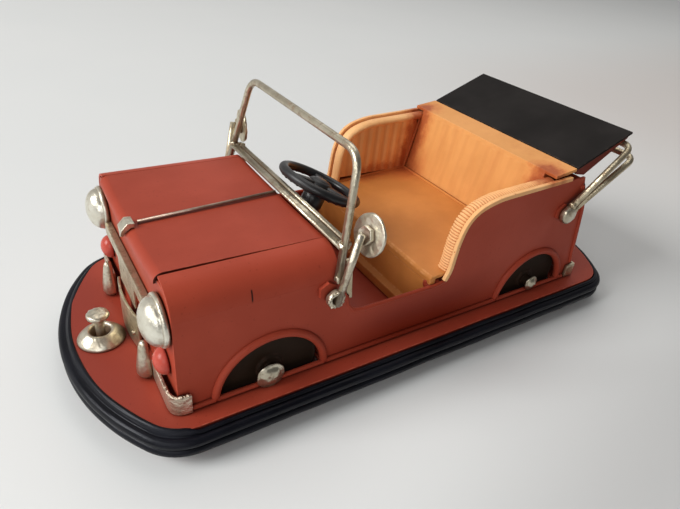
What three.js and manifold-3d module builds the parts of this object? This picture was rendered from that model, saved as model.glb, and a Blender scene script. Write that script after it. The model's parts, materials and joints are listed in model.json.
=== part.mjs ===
// Tin model of a vintage bumper car: flat deck with a ribbed rubber ring, hooded body, bench seat,
// fixed windscreen hoop, folded top on side bolts and four free-running wheels under the body.
// Millimetres. +X is forward, +Y is the car's left side, +Z is up, z = 0 is the floor.
import * as THREE from "three";
import { mergeVertices } from "three/addons/utils/BufferGeometryUtils.js";
import Module from "manifold-3d";

const wasm = await Module();
wasm.setup();

// ---- driving dimensions ----
const carLength = 330;
const carWidth = 150;
const wheelRadius = 24.4;
const axleLift = 6.4;
const hoodHeight = 60.6;
const hoodDipFront = 3.4;
const hoodDipRear = 0.8;
const deckCorner = 20;
const bodyInset = 15;
const noseInset = 36;
const tailInset = 47.4;
const rubberWidth = 5;
const rubberHeight = 12;
const sheet = 1.2;
const hoodLength = 72.3;
const shoulderRadius = 13.8;
const archRadius = 25.2;
const rodRadius = 1.8;
const beadRadius = 1.5;
const seatBackHeight = 73.5;
const seatPad = 6.5;
const topLength = 39.5;
const topRise = 15.6;

// ---- clearances ----
const seat = 0.3;
const running = 0.1;

// ---- shared positions taken from the sizes above ----
const deckHeight = wheelRadius - axleLift;
const bodyHalf = carWidth / 2 - bodyInset;
const bodyInner = bodyHalf - sheet;
const deckHalf = carWidth / 2 - rubberWidth;
const frontX = carLength / 2 - noseInset;
const rearX = tailInset - carLength / 2;
const cowlX = frontX - hoodLength;
const hoodTop = deckHeight + hoodHeight;
const shoulderZ = hoodTop - shoulderRadius;
const seamY = bodyHalf - shoulderRadius;
const floorZ = deckHeight + seat;
const frontAxleX = frontX - 42;
const rearAxleX = rearX + 39.3;
const backTopX = rearX + 42.5;
const backTopZ = deckHeight + seatBackHeight;

// ---- paint and metal ----
const redPaint = new THREE.MeshStandardMaterial({ color: 0x9c4636, roughness: 0.45, metalness: 0.1 });
const silver = new THREE.MeshStandardMaterial({ color: 0xb7ab95, roughness: 0.42, metalness: 0.85 });
const tan = new THREE.MeshStandardMaterial({ color: 0xd9955a, roughness: 0.55, metalness: 0.0 });
const black = new THREE.MeshStandardMaterial({ color: 0x2c2a29, roughness: 0.7, metalness: 0.0 });
const rubber = new THREE.MeshStandardMaterial({ color: 0x232529, roughness: 0.75, metalness: 0.0 });
const plastic = new THREE.MeshStandardMaterial({ color: 0x161617, roughness: 0.35, metalness: 0.0 });
const lampRed = new THREE.MeshStandardMaterial({ color: 0xb5483c, roughness: 0.3, metalness: 0.0 });

// ---- working with solids ----
const alongX = new THREE.Vector3(1, 0, 0);
const alongY = new THREE.Vector3(0, 1, 0);
const alongZ = new THREE.Vector3(0, 0, 1);

function signedVolume(geometry) {
  const p = geometry.attributes.position;
  const order = geometry.index.array;
  const a = new THREE.Vector3();
  const b = new THREE.Vector3();
  const c = new THREE.Vector3();
  let total = 0;
  for (let i = 0; i < order.length; i += 3) {
    a.fromBufferAttribute(p, order[i]);
    b.fromBufferAttribute(p, order[i + 1]);
    c.fromBufferAttribute(p, order[i + 2]);
    total += a.dot(b.cross(c)) / 6;
  }
  return total;
}

function faceOut(geometry) {
  const bare = geometry.clone();
  bare.deleteAttribute("normal");
  bare.deleteAttribute("uv");
  const joined = mergeVertices(bare, 1e-4);
  if (signedVolume(joined) < 0) {
    const order = joined.index.array;
    for (let i = 0; i < order.length; i += 3) {
      const kept = order[i];
      order[i] = order[i + 1];
      order[i + 1] = kept;
    }
  }
  return joined;
}

function solid(geometry) {
  const closed = faceOut(geometry);
  const mesh = new wasm.Mesh({
    numProp: 3,
    vertProperties: Float32Array.from(closed.attributes.position.array),
    triVerts: Uint32Array.from(closed.index.array),
  });
  return new wasm.Manifold(mesh);
}

function geometryOf(body) {
  const mesh = body.getMesh();
  const geometry = new THREE.BufferGeometry();
  geometry.setAttribute("position", new THREE.BufferAttribute(mesh.vertProperties, 3));
  geometry.setIndex(new THREE.BufferAttribute(mesh.triVerts, 1));
  geometry.computeVertexNormals();
  return geometry;
}

function joinAll(bodies) {
  let whole = bodies[0];
  for (const body of bodies.slice(1)) {
    whole = whole.add(body);
  }
  return whole;
}

function named(name, geometry, material) {
  const mesh = new THREE.Mesh(geometry, material.clone());
  mesh.name = name;
  return mesh;
}

function otherSide(geometry) {
  const copy = geometry.clone();
  copy.scale(1, -1, 1);
  return faceOut(copy);
}

function addPair(group, name, geometry, material) {
  group.add(named(name + "_left", geometry, material));
  group.add(named(name + "_right", otherSide(geometry), material));
}

// ---- plain shapes, placed straight in the car's frame ----
function outline(points) {
  return new THREE.Shape(points.map(([u, v]) => new THREE.Vector2(u, v)));
}

// outline in X and Z, thick from yLow to yHigh
function sidePlate(shape, yLow, yHigh, steps = 12) {
  const options = { depth: yHigh - yLow, bevelEnabled: false, curveSegments: steps };
  const geometry = new THREE.ExtrudeGeometry(shape, options);
  geometry.applyMatrix4(new THREE.Matrix4().makeBasis(alongX, alongZ, alongY.clone().negate()));
  geometry.translate(0, yHigh, 0);
  return geometry;
}

// outline in Y and Z, thick from xLow to xHigh
function crossPlate(shape, xLow, xHigh, steps = 12) {
  const options = { depth: xHigh - xLow, bevelEnabled: false, curveSegments: steps };
  const geometry = new THREE.ExtrudeGeometry(shape, options);
  geometry.applyMatrix4(new THREE.Matrix4().makeBasis(alongY, alongZ, alongX));
  geometry.translate(xLow, 0, 0);
  return geometry;
}

// outline in X and Y, thick from zLow to zHigh
function flatPlate(shape, zLow, zHigh, steps = 12) {
  const options = { depth: zHigh - zLow, bevelEnabled: false, curveSegments: steps };
  const geometry = new THREE.ExtrudeGeometry(shape, options);
  geometry.translate(0, 0, zLow);
  return geometry;
}

function block(xLow, xHigh, yLow, yHigh, zLow, zHigh) {
  const geometry = new THREE.BoxGeometry(xHigh - xLow, yHigh - yLow, zHigh - zLow);
  geometry.translate((xLow + xHigh) / 2, (yLow + yHigh) / 2, (zLow + zHigh) / 2);
  return geometry;
}

function turned(geometry, direction, place) {
  const copy = geometry.clone();
  const turn = new THREE.Quaternion().setFromUnitVectors(alongY, direction.clone().normalize());
  copy.applyQuaternion(turn);
  copy.translate(place.x, place.y, place.z);
  return copy;
}

function rod(start, end, radius, sides = 14) {
  const span = end.clone().sub(start);
  const geometry = new THREE.CylinderGeometry(radius, radius, span.length(), sides);
  return turned(geometry, span, start.clone().add(end).multiplyScalar(0.5));
}

// turned profile: pairs of radius and height, spun about a line through place
function lathe(profile, direction, place, sides = 24) {
  const points = profile.map(([radius, height]) => new THREE.Vector2(radius, height));
  return turned(new THREE.LatheGeometry(points, sides), direction, place);
}

function softPath(points, corner) {
  const path = new THREE.CurvePath();
  let from = points[0];
  for (let i = 1; i < points.length - 1; i += 1) {
    const here = points[i];
    const back = points[i - 1].clone().sub(here).normalize().multiplyScalar(corner).add(here);
    const ahead = points[i + 1].clone().sub(here).normalize().multiplyScalar(corner).add(here);
    path.add(new THREE.LineCurve3(from, back));
    path.add(new THREE.QuadraticBezierCurve3(back, here, ahead));
    from = ahead;
  }
  path.add(new THREE.LineCurve3(from, points[points.length - 1]));
  return path;
}

function roundSection(radius, sides) {
  const points = [];
  for (let i = 0; i < sides; i += 1) {
    const angle = (i / sides) * Math.PI * 2;
    points.push([Math.cos(angle) * radius, Math.sin(angle) * radius]);
  }
  return outline(points);
}

function sweep(section, path, steps) {
  return new THREE.ExtrudeGeometry(section, { steps, extrudePath: path, bevelEnabled: false });
}

const at = (x, y, z) => new THREE.Vector3(x, y, z);

// ---- deck: pressed tray with straight sides and a bowed front and rear ----
const endBow = 106.7;

function deckOutline(grow) {
  const half = deckHalf + grow;
  const bow = endBow + grow;
  const corner = deckCorner + grow;
  const centre = carLength / 2 - rubberWidth - endBow;
  const cornerX = Math.sqrt((bow - corner) ** 2 - (half - corner) ** 2);
  const meet = Math.atan2(half - corner, cornerX);
  const points = [];
  for (const side of [1, -1]) {
    for (let i = 0; i < 5; i += 1) {
      const angle = -Math.PI / 2 + ((Math.PI / 2 - meet) * i) / 5;
      const y = corner - half + corner * Math.sin(angle);
      points.push([side * (centre + cornerX + corner * Math.cos(angle)), side * y]);
    }
    for (let i = 0; i <= 20; i += 1) {
      const angle = -meet + (2 * meet * i) / 20;
      points.push([side * (centre + bow * Math.cos(angle)), side * bow * Math.sin(angle)]);
    }
    for (let i = 1; i <= 5; i += 1) {
      const angle = meet + ((Math.PI / 2 - meet) * i) / 5;
      const y = half - corner + corner * Math.sin(angle);
      points.push([side * (centre + cornerX + corner * Math.cos(angle)), side * y]);
    }
  }
  return outline(points);
}

const wheelWidth = 10;
const wheelOut = bodyInner - 0.8;
const wheelIn = wheelOut - wheelWidth;

function platform() {
  const tray = solid(flatPlate(deckOutline(0), deckHeight - rubberHeight, deckHeight));
  const hollow = solid(flatPlate(deckOutline(-1.6), deckHeight - rubberHeight - 1, deckHeight - 1.6));
  const cut = [hollow];
  for (const axleX of [frontAxleX, rearAxleX]) {
    for (const side of [1, -1]) {
      const near = side * (wheelIn - 1.5);
      const far = side * (bodyInner - 0.2);
      const low = Math.min(near, far);
      const high = Math.max(near, far);
      const reach = wheelRadius + 1.5;
      cut.push(solid(block(axleX - reach, axleX + reach, low, high, 0, deckHeight + 1)));
    }
  }
  return geometryOf(tray.subtract(joinAll(cut)));
}

// ---- rubber ring: three ribs with grooves between ----
function rubberRing() {
  const top = deckHeight - 0.2;
  const ribs = [
    [top - 4.6, top, rubberWidth],
    [top - 5.8, top - 4.4, rubberWidth - 2],
    [top - rubberHeight, top - 5.6, rubberWidth - 0.6],
  ];
  const rings = ribs.map(([low, high, grow]) => solid(flatPlate(deckOutline(grow), low, high)));
  const inside = solid(flatPlate(deckOutline(seat), 0, deckHeight + 1));
  return geometryOf(joinAll(rings).subtract(inside));
}

// ---- body sides: flat sheet with a rolled shoulder along the hood and wired arches ----
const sillZ = deckHeight + 25;
const doorFrontX = cowlX - 6;
const seatFrontX = rearX + 107.7;
const tailTopX = rearX + 18.3;
const tailTopZ = deckHeight + seatBackHeight - 3.9;

// top line of the seat side, from the sill up and back to the tail, as shares of the whole rise
const sideRise = tailTopZ - sillZ;
const sideCurve = [
  [seatFrontX, 0.029],
  [seatFrontX - 2.4, 0.166],
  [seatFrontX - 3.3, 0.363],
  [seatFrontX - 4.5, 0.556],
  [seatFrontX - 7.5, 0.74],
  [seatFrontX - 13.5, 0.859],
  [seatFrontX - 24.6, 0.93],
  [seatFrontX - 39, 0.951],
  [tailTopX, 1],
].map(([x, share]) => [x, sillZ + share * sideRise]);

function smoothLine(points, count) {
  const curve = new THREE.SplineCurve(points.map(([u, v]) => new THREE.Vector2(u, v)));
  return curve.getPoints(count).map((p) => [p.x, p.y]);
}

// the line moved sideways in its own plane, outward and upward for a positive distance
function moved(line, distance) {
  return line.map(([x, z], i) => {
    const before = line[Math.max(i - 1, 0)];
    const after = line[Math.min(i + 1, line.length - 1)];
    const run = Math.hypot(after[0] - before[0], after[1] - before[1]);
    return [x + (distance * (after[1] - before[1])) / run, z - (distance * (after[0] - before[0])) / run];
  });
}

function sidePanel() {
  const lineUp = smoothLine(sideCurve, 28);
  const points = [
    [rearX, floorZ],
    [frontX, floorZ],
    [frontX, shoulderZ + 0.5],
    [cowlX, shoulderZ + 0.5],
    [doorFrontX, sillZ + 11],
    [doorFrontX - 1, sillZ + 5],
    [doorFrontX - 4.5, sillZ + 1],
    [doorFrontX - 10, sillZ],
    [seatFrontX + 6, sillZ],
    ...lineUp,
    [rearX + 10.8, tailTopZ - 18.7],
  ];
  const flat = solid(sidePlate(outline(points), bodyInner, bodyHalf));
  const bend = [];
  for (let i = 0; i <= 10; i += 1) {
    const angle = (i / 10) * (Math.PI / 2);
    bend.push([seamY + shoulderRadius * Math.cos(angle), shoulderZ + shoulderRadius * Math.sin(angle)]);
  }
  const inner = shoulderRadius - sheet;
  for (let i = 10; i >= 0; i -= 1) {
    const angle = (i / 10) * (Math.PI / 2);
    bend.push([seamY + inner * Math.cos(angle), shoulderZ + inner * Math.sin(angle)]);
  }
  const shoulder = solid(crossPlate(outline(bend), cowlX, frontX));
  const arches = [];
  const beads = [];
  for (const axleX of [frontAxleX, rearAxleX]) {
    const opening = new THREE.CylinderGeometry(archRadius, archRadius, 10, 48);
    opening.translate(axleX, bodyHalf, deckHeight);
    arches.push(solid(opening));
    const ring = new THREE.TorusGeometry(archRadius + beadRadius, beadRadius, 8, 48);
    ring.rotateX(Math.PI / 2);
    ring.translate(axleX, bodyHalf, deckHeight);
    beads.push(solid(ring));
  }
  const footRod = rod(
    at(rearX + 8, bodyHalf + 0.8, floorZ + 1.2),
    at(frontX - 5, bodyHalf + 0.8, floorZ + 1.2),
    1.2,
    10,
  );
  const tailY = bodyHalf - 0.2;
  const tailBend = at(rearX + 11.2, tailY, tailTopZ - 18.7);
  const tailWire = joinAll([
    solid(rod(at(rearX + 3.4, tailY, floorZ + 10.2), tailBend, 1, 10)),
    solid(rod(tailBend, at(tailTopX + 1, tailY, tailTopZ - 5), 1, 10)),
  ]);
  const below = solid(block(rearX - 20, frontX + 20, 0, carWidth, -50, floorZ));
  const windscreenLug = new THREE.CylinderGeometry(4.6, 4.6, 2.4, 6);
  windscreenLug.translate(cowlX + 5.6, bodyHalf + 0.6, lugZ);
  const topLug = new THREE.CylinderGeometry(5.2, 5.2, 1.6, 6);
  topLug.translate(topPivotX + 2.4, bodyHalf + 0.3, topPivotZ + 1);
  const body = joinAll([flat.subtract(joinAll(arches)), shoulder, ...beads, solid(footRod), tailWire]);
  return geometryOf(
    body.subtract(below).add(solid(windscreenLug)).add(solid(topLug)).subtract(solid(pivotBore())),
  );
}

// ---- folded top: pivot line of the side bolts ----
const topPivotX = rearX + 27.3;
const topPivotZ = tailTopZ - 20;
const boltShaft = 2;
const lugZ = deckHeight + 43;

function pivotBore() {
  const bore = new THREE.CylinderGeometry(boltShaft + seat, boltShaft + seat, 12, 24);
  bore.translate(topPivotX, bodyHalf, topPivotZ);
  return bore;
}

// ---- hood, nose and dash ----
// the hood sheet sags a little along its middle, more at the front than at the cowl
function hoodDip(x, y) {
  const ahead = Math.min(Math.max((x - cowlX) / hoodLength, 0), 1);
  const deep = hoodDipRear + (hoodDipFront - hoodDipRear) * ahead;
  return deep * Math.max(1 - (y / seamY) ** 2, 0);
}

function hoodPanel() {
  const front = frontX + seat + sheet;
  const lip = 4;
  const points = [[cowlX, hoodTop], [cowlX, hoodTop - sheet]];
  for (let i = 0; i <= 5; i += 1) {
    const angle = Math.PI / 2 - (i / 5) * (Math.PI / 2);
    points.push([front - lip + (lip - sheet) * Math.cos(angle), hoodTop - lip + (lip - sheet) * Math.sin(angle)]);
  }
  points.push([front - sheet, hoodTop - 4.5], [front, hoodTop - 4.5]);
  for (let i = 0; i <= 5; i += 1) {
    const angle = (i / 5) * (Math.PI / 2);
    points.push([front - lip + lip * Math.cos(angle), hoodTop - lip + lip * Math.sin(angle)]);
  }
  const half = seamY - 0.35;
  const options = { depth: 2 * half, steps: 12, bevelEnabled: false };
  const geometry = new THREE.ExtrudeGeometry(outline(points), options);
  geometry.applyMatrix4(new THREE.Matrix4().makeBasis(alongX, alongZ, alongY.clone().negate()));
  geometry.translate(0, half, 0);
  const place = geometry.attributes.position;
  for (let i = 0; i < place.count; i += 1) {
    place.setZ(i, place.getZ(i) - hoodDip(place.getX(i), place.getY(i)));
  }
  return geometryOf(solid(geometry));
}

// inside section of the hood, shrunk by a clearance
function bulkhead(topAt) {
  const half = bodyInner - seat;
  const radius = shoulderRadius - sheet - seat;
  const points = [[-half, floorZ], [half, floorZ]];
  for (let i = 0; i <= 8; i += 1) {
    const angle = (i / 8) * (Math.PI / 2);
    const y = seamY + radius * Math.cos(angle);
    points.push([y, Math.min(shoulderZ + radius * Math.sin(angle), topAt(y))]);
  }
  for (let i = 1; i <= 7; i += 1) {
    const y = seamY * (1 - i / 4);
    points.push([y, Math.min(shoulderZ + radius, topAt(y))]);
  }
  for (let i = 8; i >= 0; i -= 1) {
    const angle = (i / 8) * (Math.PI / 2);
    const y = seamY + radius * Math.cos(angle);
    points.push([-y, Math.min(shoulderZ + radius * Math.sin(angle), topAt(y))]);
  }
  return outline(points);
}

function nosePanel() {
  const top = (y) => hoodTop - 3.1 - hoodDip(frontX, y);
  return crossPlate(bulkhead(top), frontX - sheet, frontX);
}

function dashPanel() {
  const top = (y) => hoodTop - sheet - 2 * seat - hoodDip(cowlX + 6, y);
  return crossPlate(bulkhead(top), cowlX + 2, cowlX + 3.2);
}

// ---- bright trim of the hood and nose ----
function hoodStrip() {
  const rear = cowlX + 1.5;
  const front = frontX - 4.6;
  const lift = 0.9 + seat;
  const start = at(rear, 0, hoodTop - hoodDip(rear, 0) + lift);
  return rod(start, at(front, 0, hoodTop - hoodDip(front, 0) + lift), 0.9, 12);
}

// wedge hooked over the hood's front lip, wide at the top and pointed below
function hoodOrnament() {
  const front = frontX + seat + sheet;
  const top = hoodTop - hoodDipFront;
  const points = [
    [front - 4.2, top + seat + 0.1],
    [front - 4.2, top + 2.5],
    [front - 1.2, top + 2.9],
    [front + 1.7, top - 0.2],
    [front + 1.9, top - 4.6],
    [front + seat, top - 5.2],
    [front + seat, top - 3.4],
    [front - 0.9, top - 0.9],
    [front - 2.4, top + seat + 0.1],
  ];
  const wide = sidePlate(outline(points), -4, 4);
  const shield = crossPlate(
    outline([[-3.4, top + 4], [-3.4, top - 0.5], [0, top - 5.2], [3.4, top - 0.5], [3.4, top + 4]]),
    front - 8,
    front + 8,
  );
  return geometryOf(solid(wide).intersect(solid(shield)));
}

const lampY = bodyHalf - 11.3;
const lampZ = deckHeight + 42;
const trimX = frontX + seat;

function headlamp() {
  const profile = [[0, 0], [10.2, 0], [11.4, 0.8], [11.4, 2.2], [10.9, 2.8]];
  for (let i = 0; i <= 8; i += 1) {
    const angle = (i / 8) * (Math.PI / 2);
    profile.push([i === 8 ? 0 : 10.6 * Math.cos(angle), 3 + 6.2 * Math.sin(angle)]);
  }
  return lathe(profile, alongX, at(trimX, lampY, lampZ));
}

function markerLight() {
  const profile = [[0, 0], [5.4, 0]];
  for (let i = 0; i <= 6; i += 1) {
    const angle = (i / 6) * (Math.PI / 2);
    profile.push([i === 6 ? 0 : 6.1 * Math.cos(angle), 0.6 + 4.8 * Math.sin(angle)]);
  }
  return lathe(profile, alongX, at(trimX, bodyHalf - 12.5, deckHeight + 19.6));
}

// upper bar between the lamps, with a short plate hanging from its middle
function grilleTopBar() {
  const half = lampY - 12;
  const low = deckHeight + 34;
  const bar = solid(block(trimX, trimX + 3.2, -half, half, low, low + 6));
  const plate = solid(block(trimX + 2, trimX + 3.2, -13, 13, low - 12, low + 1));
  return geometryOf(bar.add(plate));
}

// lower plate standing on the deck, bowed a little forward
function grilleLowerPlate() {
  const half = (bodyHalf - 25) / 2;
  const outer = [];
  const inner = [];
  for (let i = 0; i <= 12; i += 1) {
    const y = -half + (2 * half * i) / 12;
    const bow = 2 * (1 - (y / half) ** 2);
    outer.push([trimX + 4 + bow, y]);
    inner.push([trimX + 2.8 + bow, y]);
  }
  return flatPlate(outline([...outer, ...inner.reverse()]), floorZ + seat, deckHeight + 20.4);
}

// bumper corner: strip standing on the deck and wrapped round the side
const bumperFront = trimX + 3.5;
const bumperInner = bodyHalf - 25;

function bumperCorner() {
  const thick = 1.4;
  const out = bodyHalf + 2.5;
  const back = frontX - 5;
  const outerPath = [at(back, out, 0), at(bumperFront, out, 0), at(bumperFront, bumperInner, 0)];
  const innerPath = [
    at(back, out - thick, 0),
    at(bumperFront - thick, out - thick, 0),
    at(bumperFront - thick, bumperInner, 0),
  ];
  const line = (points, corner) => softPath(points, corner).getPoints(8).map((p) => [p.x, p.y]);
  const ring = [...line(outerPath, 7), ...line(innerPath, 5.6).reverse()];
  return flatPlate(outline(ring), floorZ + seat, floorZ + seat + 9.8);
}

function overrider() {
  const profile = [[0, 0], [3, 0.4], [4.1, 2.4], [4, 5.5], [3.2, 11], [2.4, 16], [1.7, 18.6], [0, 19.8]];
  const body = solid(lathe(profile, alongZ, at(bumperFront + 1.9, bumperInner - 2.2, floorZ + seat), 20));
  const spare = solid(block(trimX - 10, bumperFront + seat, 0, carWidth, 0, 100));
  return geometryOf(body.subtract(spare));
}

// ---- front post standing in its cup on the deck ----
const postX = carLength / 2 - 18.1;

function postFlange() {
  const profile = [[3.1, 0], [10.6, 0], [10.6, 0.8], [6.6, 4.6], [5.2, 5], [4.2, 4.4], [3.1, 1.2], [3.1, 0]];
  return lathe(profile, alongZ, at(postX, 0, floorZ), 36);
}

function frontPost() {
  const profile = [[0, 0], [2.7, 0], [2.7, 1.2], [1.9, 2], [1.9, 12], [4.6, 12.6], [5, 13.3], [4.8, 14.6], [3, 15], [0, 15]];
  return lathe(profile, alongZ, at(postX, 0, floorZ), 28);
}

// ---- windscreen: rod hoop with two sill bars across the cowl ----
const hoopTopX = cowlX - 8.9;
const hoopTopZ = deckHeight + 100.6;
const hoopTopY = bodyHalf - 7.7;
const hoopFootX = cowlX + 1.5;
const hoopFootZ = deckHeight + 48;
const hoopFootY = bodyHalf + rodRadius + seat;

function windscreen() {
  const foot = at(hoopFootX, hoopFootY, hoopFootZ);
  const head = at(hoopTopX, hoopTopY, hoopTopZ);
  const farHead = at(hoopTopX, -hoopTopY, hoopTopZ);
  const farFoot = at(hoopFootX, -hoopFootY, hoopFootZ);
  const hoop = solid(sweep(roundSection(rodRadius, 10), softPath([foot, head, farHead, farFoot], 9), 48));
  const share = (hoodTop + 2 - hoopFootZ) / (hoopTopZ - hoopFootZ);
  const barX = hoopFootX + (hoopTopX - hoopFootX) * share;
  const barY = hoopFootY + (hoopTopY - hoopFootY) * share;
  const frontBar = solid(block(barX - 1.6, barX + 2.2, -barY, barY, hoodTop + 0.9, hoodTop + 2.3));
  const rearBar = solid(block(barX - 4.8, barX - 2.6, -barY + 1, barY - 1, hoodTop + 0.7, hoodTop + 2.6));
  const ties = [1, -1].map((side) =>
    solid(block(barX - 4.8, barX + 2.2, side * (barY - 4) - 1.6, side * (barY - 4) + 1.6, hoodTop + 0.7, hoodTop + 2)),
  );
  return geometryOf(joinAll([hoop, frontBar, rearBar, ...ties]));
}

function windscreenStay() {
  const points = [
    [doorFrontX - 3.6, sillZ + 8],
    [doorFrontX - 0.4, sillZ + 8],
    [doorFrontX + 1.6, hoodTop - 6],
    [doorFrontX - 1.6, hoodTop - 6],
  ];
  return sidePlate(outline(points), bodyInner - seat - 1.4, bodyInner - seat);
}

// ---- mirror: hollow boss on the body side, leaning arm, hex nut and disc ----
const mirrorFacing = { left: at(0.97, 0.09, 0.23), right: at(0.99, 0.12, 0) };
const mirrorLine = hoopFootY + rodRadius;
const mirrorPlace = at(cowlX - 9, bodyHalf + 5.8, deckHeight + 70.3);

function mirrorArm() {
  const bossY = mirrorLine - 1.2;
  const place = at(cowlX + 3.4, bossY, lugZ - 2.6);
  const ring = lathe([[2.2, 0], [4.2, 0], [4.2, 3], [2.2, 3], [2.2, 0]], alongY, place, 24);
  const foot = place.clone().add(at(-0.6, 2.2, -3.2));
  const head = mirrorPlace.clone().add(at(4.8, 1, 2));
  return geometryOf(solid(ring).add(solid(rod(foot, head, rodRadius, 12))));
}

// each disc is turned a little its own way
function mirrorDisc(label) {
  const facing = mirrorFacing[label].clone().normalize();
  const disc = lathe([[0, -0.7], [9, -0.7], [9, 0.7], [0, 0.7]], facing, mirrorPlace, 36);
  const nutPlace = mirrorPlace.clone().addScaledVector(facing, 1.8);
  const nut = turned(new THREE.CylinderGeometry(4.3, 4.3, 2.8, 6), facing, nutPlace);
  return geometryOf(solid(disc).add(solid(nut)).subtract(solid(mirrorArm())));
}

// ---- steering: column from the dash and a thick three-spoke wheel ----
const steerTilt = 0.45;
const steerAxis = at(-Math.sin(steerTilt), 0, Math.cos(steerTilt));
const steerHub = at(cowlX - 24, 0, deckHeight + 60.7);

function steeringColumn() {
  const top = steerHub.clone().addScaledVector(steerAxis, -5);
  const reach = (top.x - (cowlX + 2 - seat)) / steerAxis.x;
  const foot = top.clone().addScaledVector(steerAxis, -reach);
  const shaft = solid(rod(foot.clone().addScaledVector(steerAxis, -4), top, 2.4, 16));
  const wall = solid(block(cowlX + 2 - seat, cowlX + 30, -20, 20, 0, 100));
  return geometryOf(shaft.subtract(wall));
}

function steeringWheel() {
  const rim = new THREE.TorusGeometry(20.5, 2.1, 10, 40);
  rim.rotateX(Math.PI / 2);
  const parts = [solid(rim)];
  for (const turn of [0, 120, 240]) {
    const angle = (turn * Math.PI) / 180;
    const spoke = new THREE.BoxGeometry(20, 2, 5);
    spoke.translate(10.2, 0, 0);
    spoke.rotateY(angle);
    parts.push(solid(spoke));
  }
  const hub = new THREE.CylinderGeometry(5.4, 7, 6.4, 24);
  hub.translate(0, -1.2, 0);
  parts.push(solid(hub));
  return turned(geometryOf(joinAll(parts)), steerAxis, steerHub);
}

// ---- bench seat ----
const cushionTop = deckHeight + 30;
const cushionFrontX = rearX + 117.3;
const cushionBackX = backTopX + 9;
const padOuter = bodyInner - seat;

// cushion: one sheet with its front edge folded down
function seatCushion() {
  const low = cushionTop - 4.8;
  const points = [
    [cushionFrontX, low],
    [cushionFrontX, cushionTop - 1.2],
    [cushionFrontX - 1.2, cushionTop],
    [cushionBackX, cushionTop + 3.4],
    [cushionBackX - 11, cushionTop + 3.4],
    [cushionBackX - 11, cushionTop + 1.4],
    [cushionBackX, cushionTop + 1.4],
    [cushionFrontX - 3.6, cushionTop - 1.9],
    [cushionFrontX - 3.6, low],
  ];
  return sidePlate(outline(points), -padOuter, padOuter);
}

function seatBase() {
  const low = floorZ;
  const high = cushionTop - 4.8 - seat;
  const points = [
    [cushionFrontX - 5, low],
    [cushionFrontX + 3, low],
    [cushionFrontX + 3, low + 5.5],
    [cushionFrontX - 0.8, low + 6.5],
    [cushionFrontX - 0.8, high],
    [cushionFrontX - 3.4, high],
    [cushionFrontX - 3.4, low + 1.6],
    [cushionFrontX - 5, low + 1.6],
  ];
  return sidePlate(outline(points), -padOuter, padOuter);
}

function seatBack() {
  const low = cushionTop + 3.4 + seat;
  const inner = padOuter - seatPad - seat;
  const points = [
    [cushionBackX - 1.5, low],
    [backTopX, backTopZ],
    [backTopX - 15.5, backTopZ + 2],
    [backTopX - 15.5, backTopZ - 2.4],
    [backTopX - 5, backTopZ - 3.6],
    [cushionBackX - 8, low],
  ];
  const ledge = [
    [backTopX - 0.2, backTopZ - 1.8],
    [backTopX, backTopZ],
    [backTopX - 15.5, backTopZ + 2],
    [backTopX - 15.5, backTopZ + 0.2],
  ];
  const back = solid(sidePlate(outline(points), -inner, inner));
  return geometryOf(back.add(solid(sidePlate(outline(ledge), -bodyHalf + 0.8, bodyHalf - 0.8))));
}

// padded side: a hollow wall with a thin inner lip, so the piping lies in a channel
function seatSide() {
  const low = cushionTop + 3.4 + seat;
  const wall = (drop, yOuter) => {
    const line = moved(smoothLine(sideCurve, 28), drop).filter(([x, z]) => z > low + 2 && x > backTopX - 4);
    const points = [[line[0][0], low], ...line, [backTopX - 3, low]];
    return solid(sidePlate(outline(points), padOuter - seatPad, yOuter));
  };
  return geometryOf(wall(-2.9, padOuter).add(wall(-0.9, padOuter - seatPad + 1.1)));
}

// edging: flat strip lying on the upper edge of the body side
function seatEdging() {
  const line = smoothLine(sideCurve, 28).filter(([x]) => x > backTopX - 14);
  const points = [...moved(line, seat), ...moved(line, 2.6).reverse()];
  return sidePlate(outline(points), bodyInner, bodyHalf + 1);
}

// piping: ribbed roll, a little flattened, in the channel between the edging and the inner lip
const pipingHeight = 2.1;
const pipingHalf = (seatPad - 1.1) / 2 - 0.25;

function seatPiping() {
  const line = smoothLine(sideCurve, 28).filter(([x, z]) => x > backTopX + 0.6 && z > sillZ + 6);
  const y = bodyInner - seat - pipingHalf;
  const path = new THREE.CatmullRomCurve3(moved(line, -0.4).map(([x, z]) => at(x, y, z)));
  const round = [];
  for (let i = 0; i < 12; i += 1) {
    const angle = (i / 12) * Math.PI * 2;
    round.push([pipingHeight * Math.cos(angle), pipingHalf * Math.sin(angle)]);
  }
  return sweep(outline(round), path, 28);
}

// ---- tail ----
function rearPanel() {
  const half = padOuter;
  const points = [
    [rearX + 0.4, floorZ],
    [tailTopX + 0.4, tailTopZ - 1],
    [tailTopX + 0.4 + sheet, tailTopZ - 1],
    [rearX + 0.4 + sheet, floorZ],
  ];
  return sidePlate(outline(points), -half, half);
}

function cornerBracket() {
  const low = floorZ + seat;
  const outer = flatPlate(
    outline([
      [rearX - 1.6, bodyHalf - 7],
      [rearX - 1.6, bodyHalf + 1],
      [rearX - 0.6, bodyHalf + 2],
      [rearX + 6.5, bodyHalf + 2],
      [rearX + 6.5, bodyHalf + seat],
      [rearX - seat, bodyHalf + seat],
      [rearX - seat, bodyHalf - 7],
    ]),
    low,
    low + 8,
  );
  return outer;
}

// ---- folded top: black cover on a shallow tray, carried by two hoops on the side bolts ----
const topFrontX = backTopX - 16.1;
const topFrontZ = backTopZ + 2.3;
const topHalf = bodyHalf - 0.9;

function topCover() {
  const points = [
    [topFrontX, topFrontZ],
    [topFrontX - topLength, topFrontZ + topRise],
    [topFrontX - topLength - 0.6, topFrontZ + topRise - 1.2],
    [topFrontX - 0.3, topFrontZ - 1.5],
  ];
  return sidePlate(outline(points), -topHalf, topHalf);
}

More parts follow.
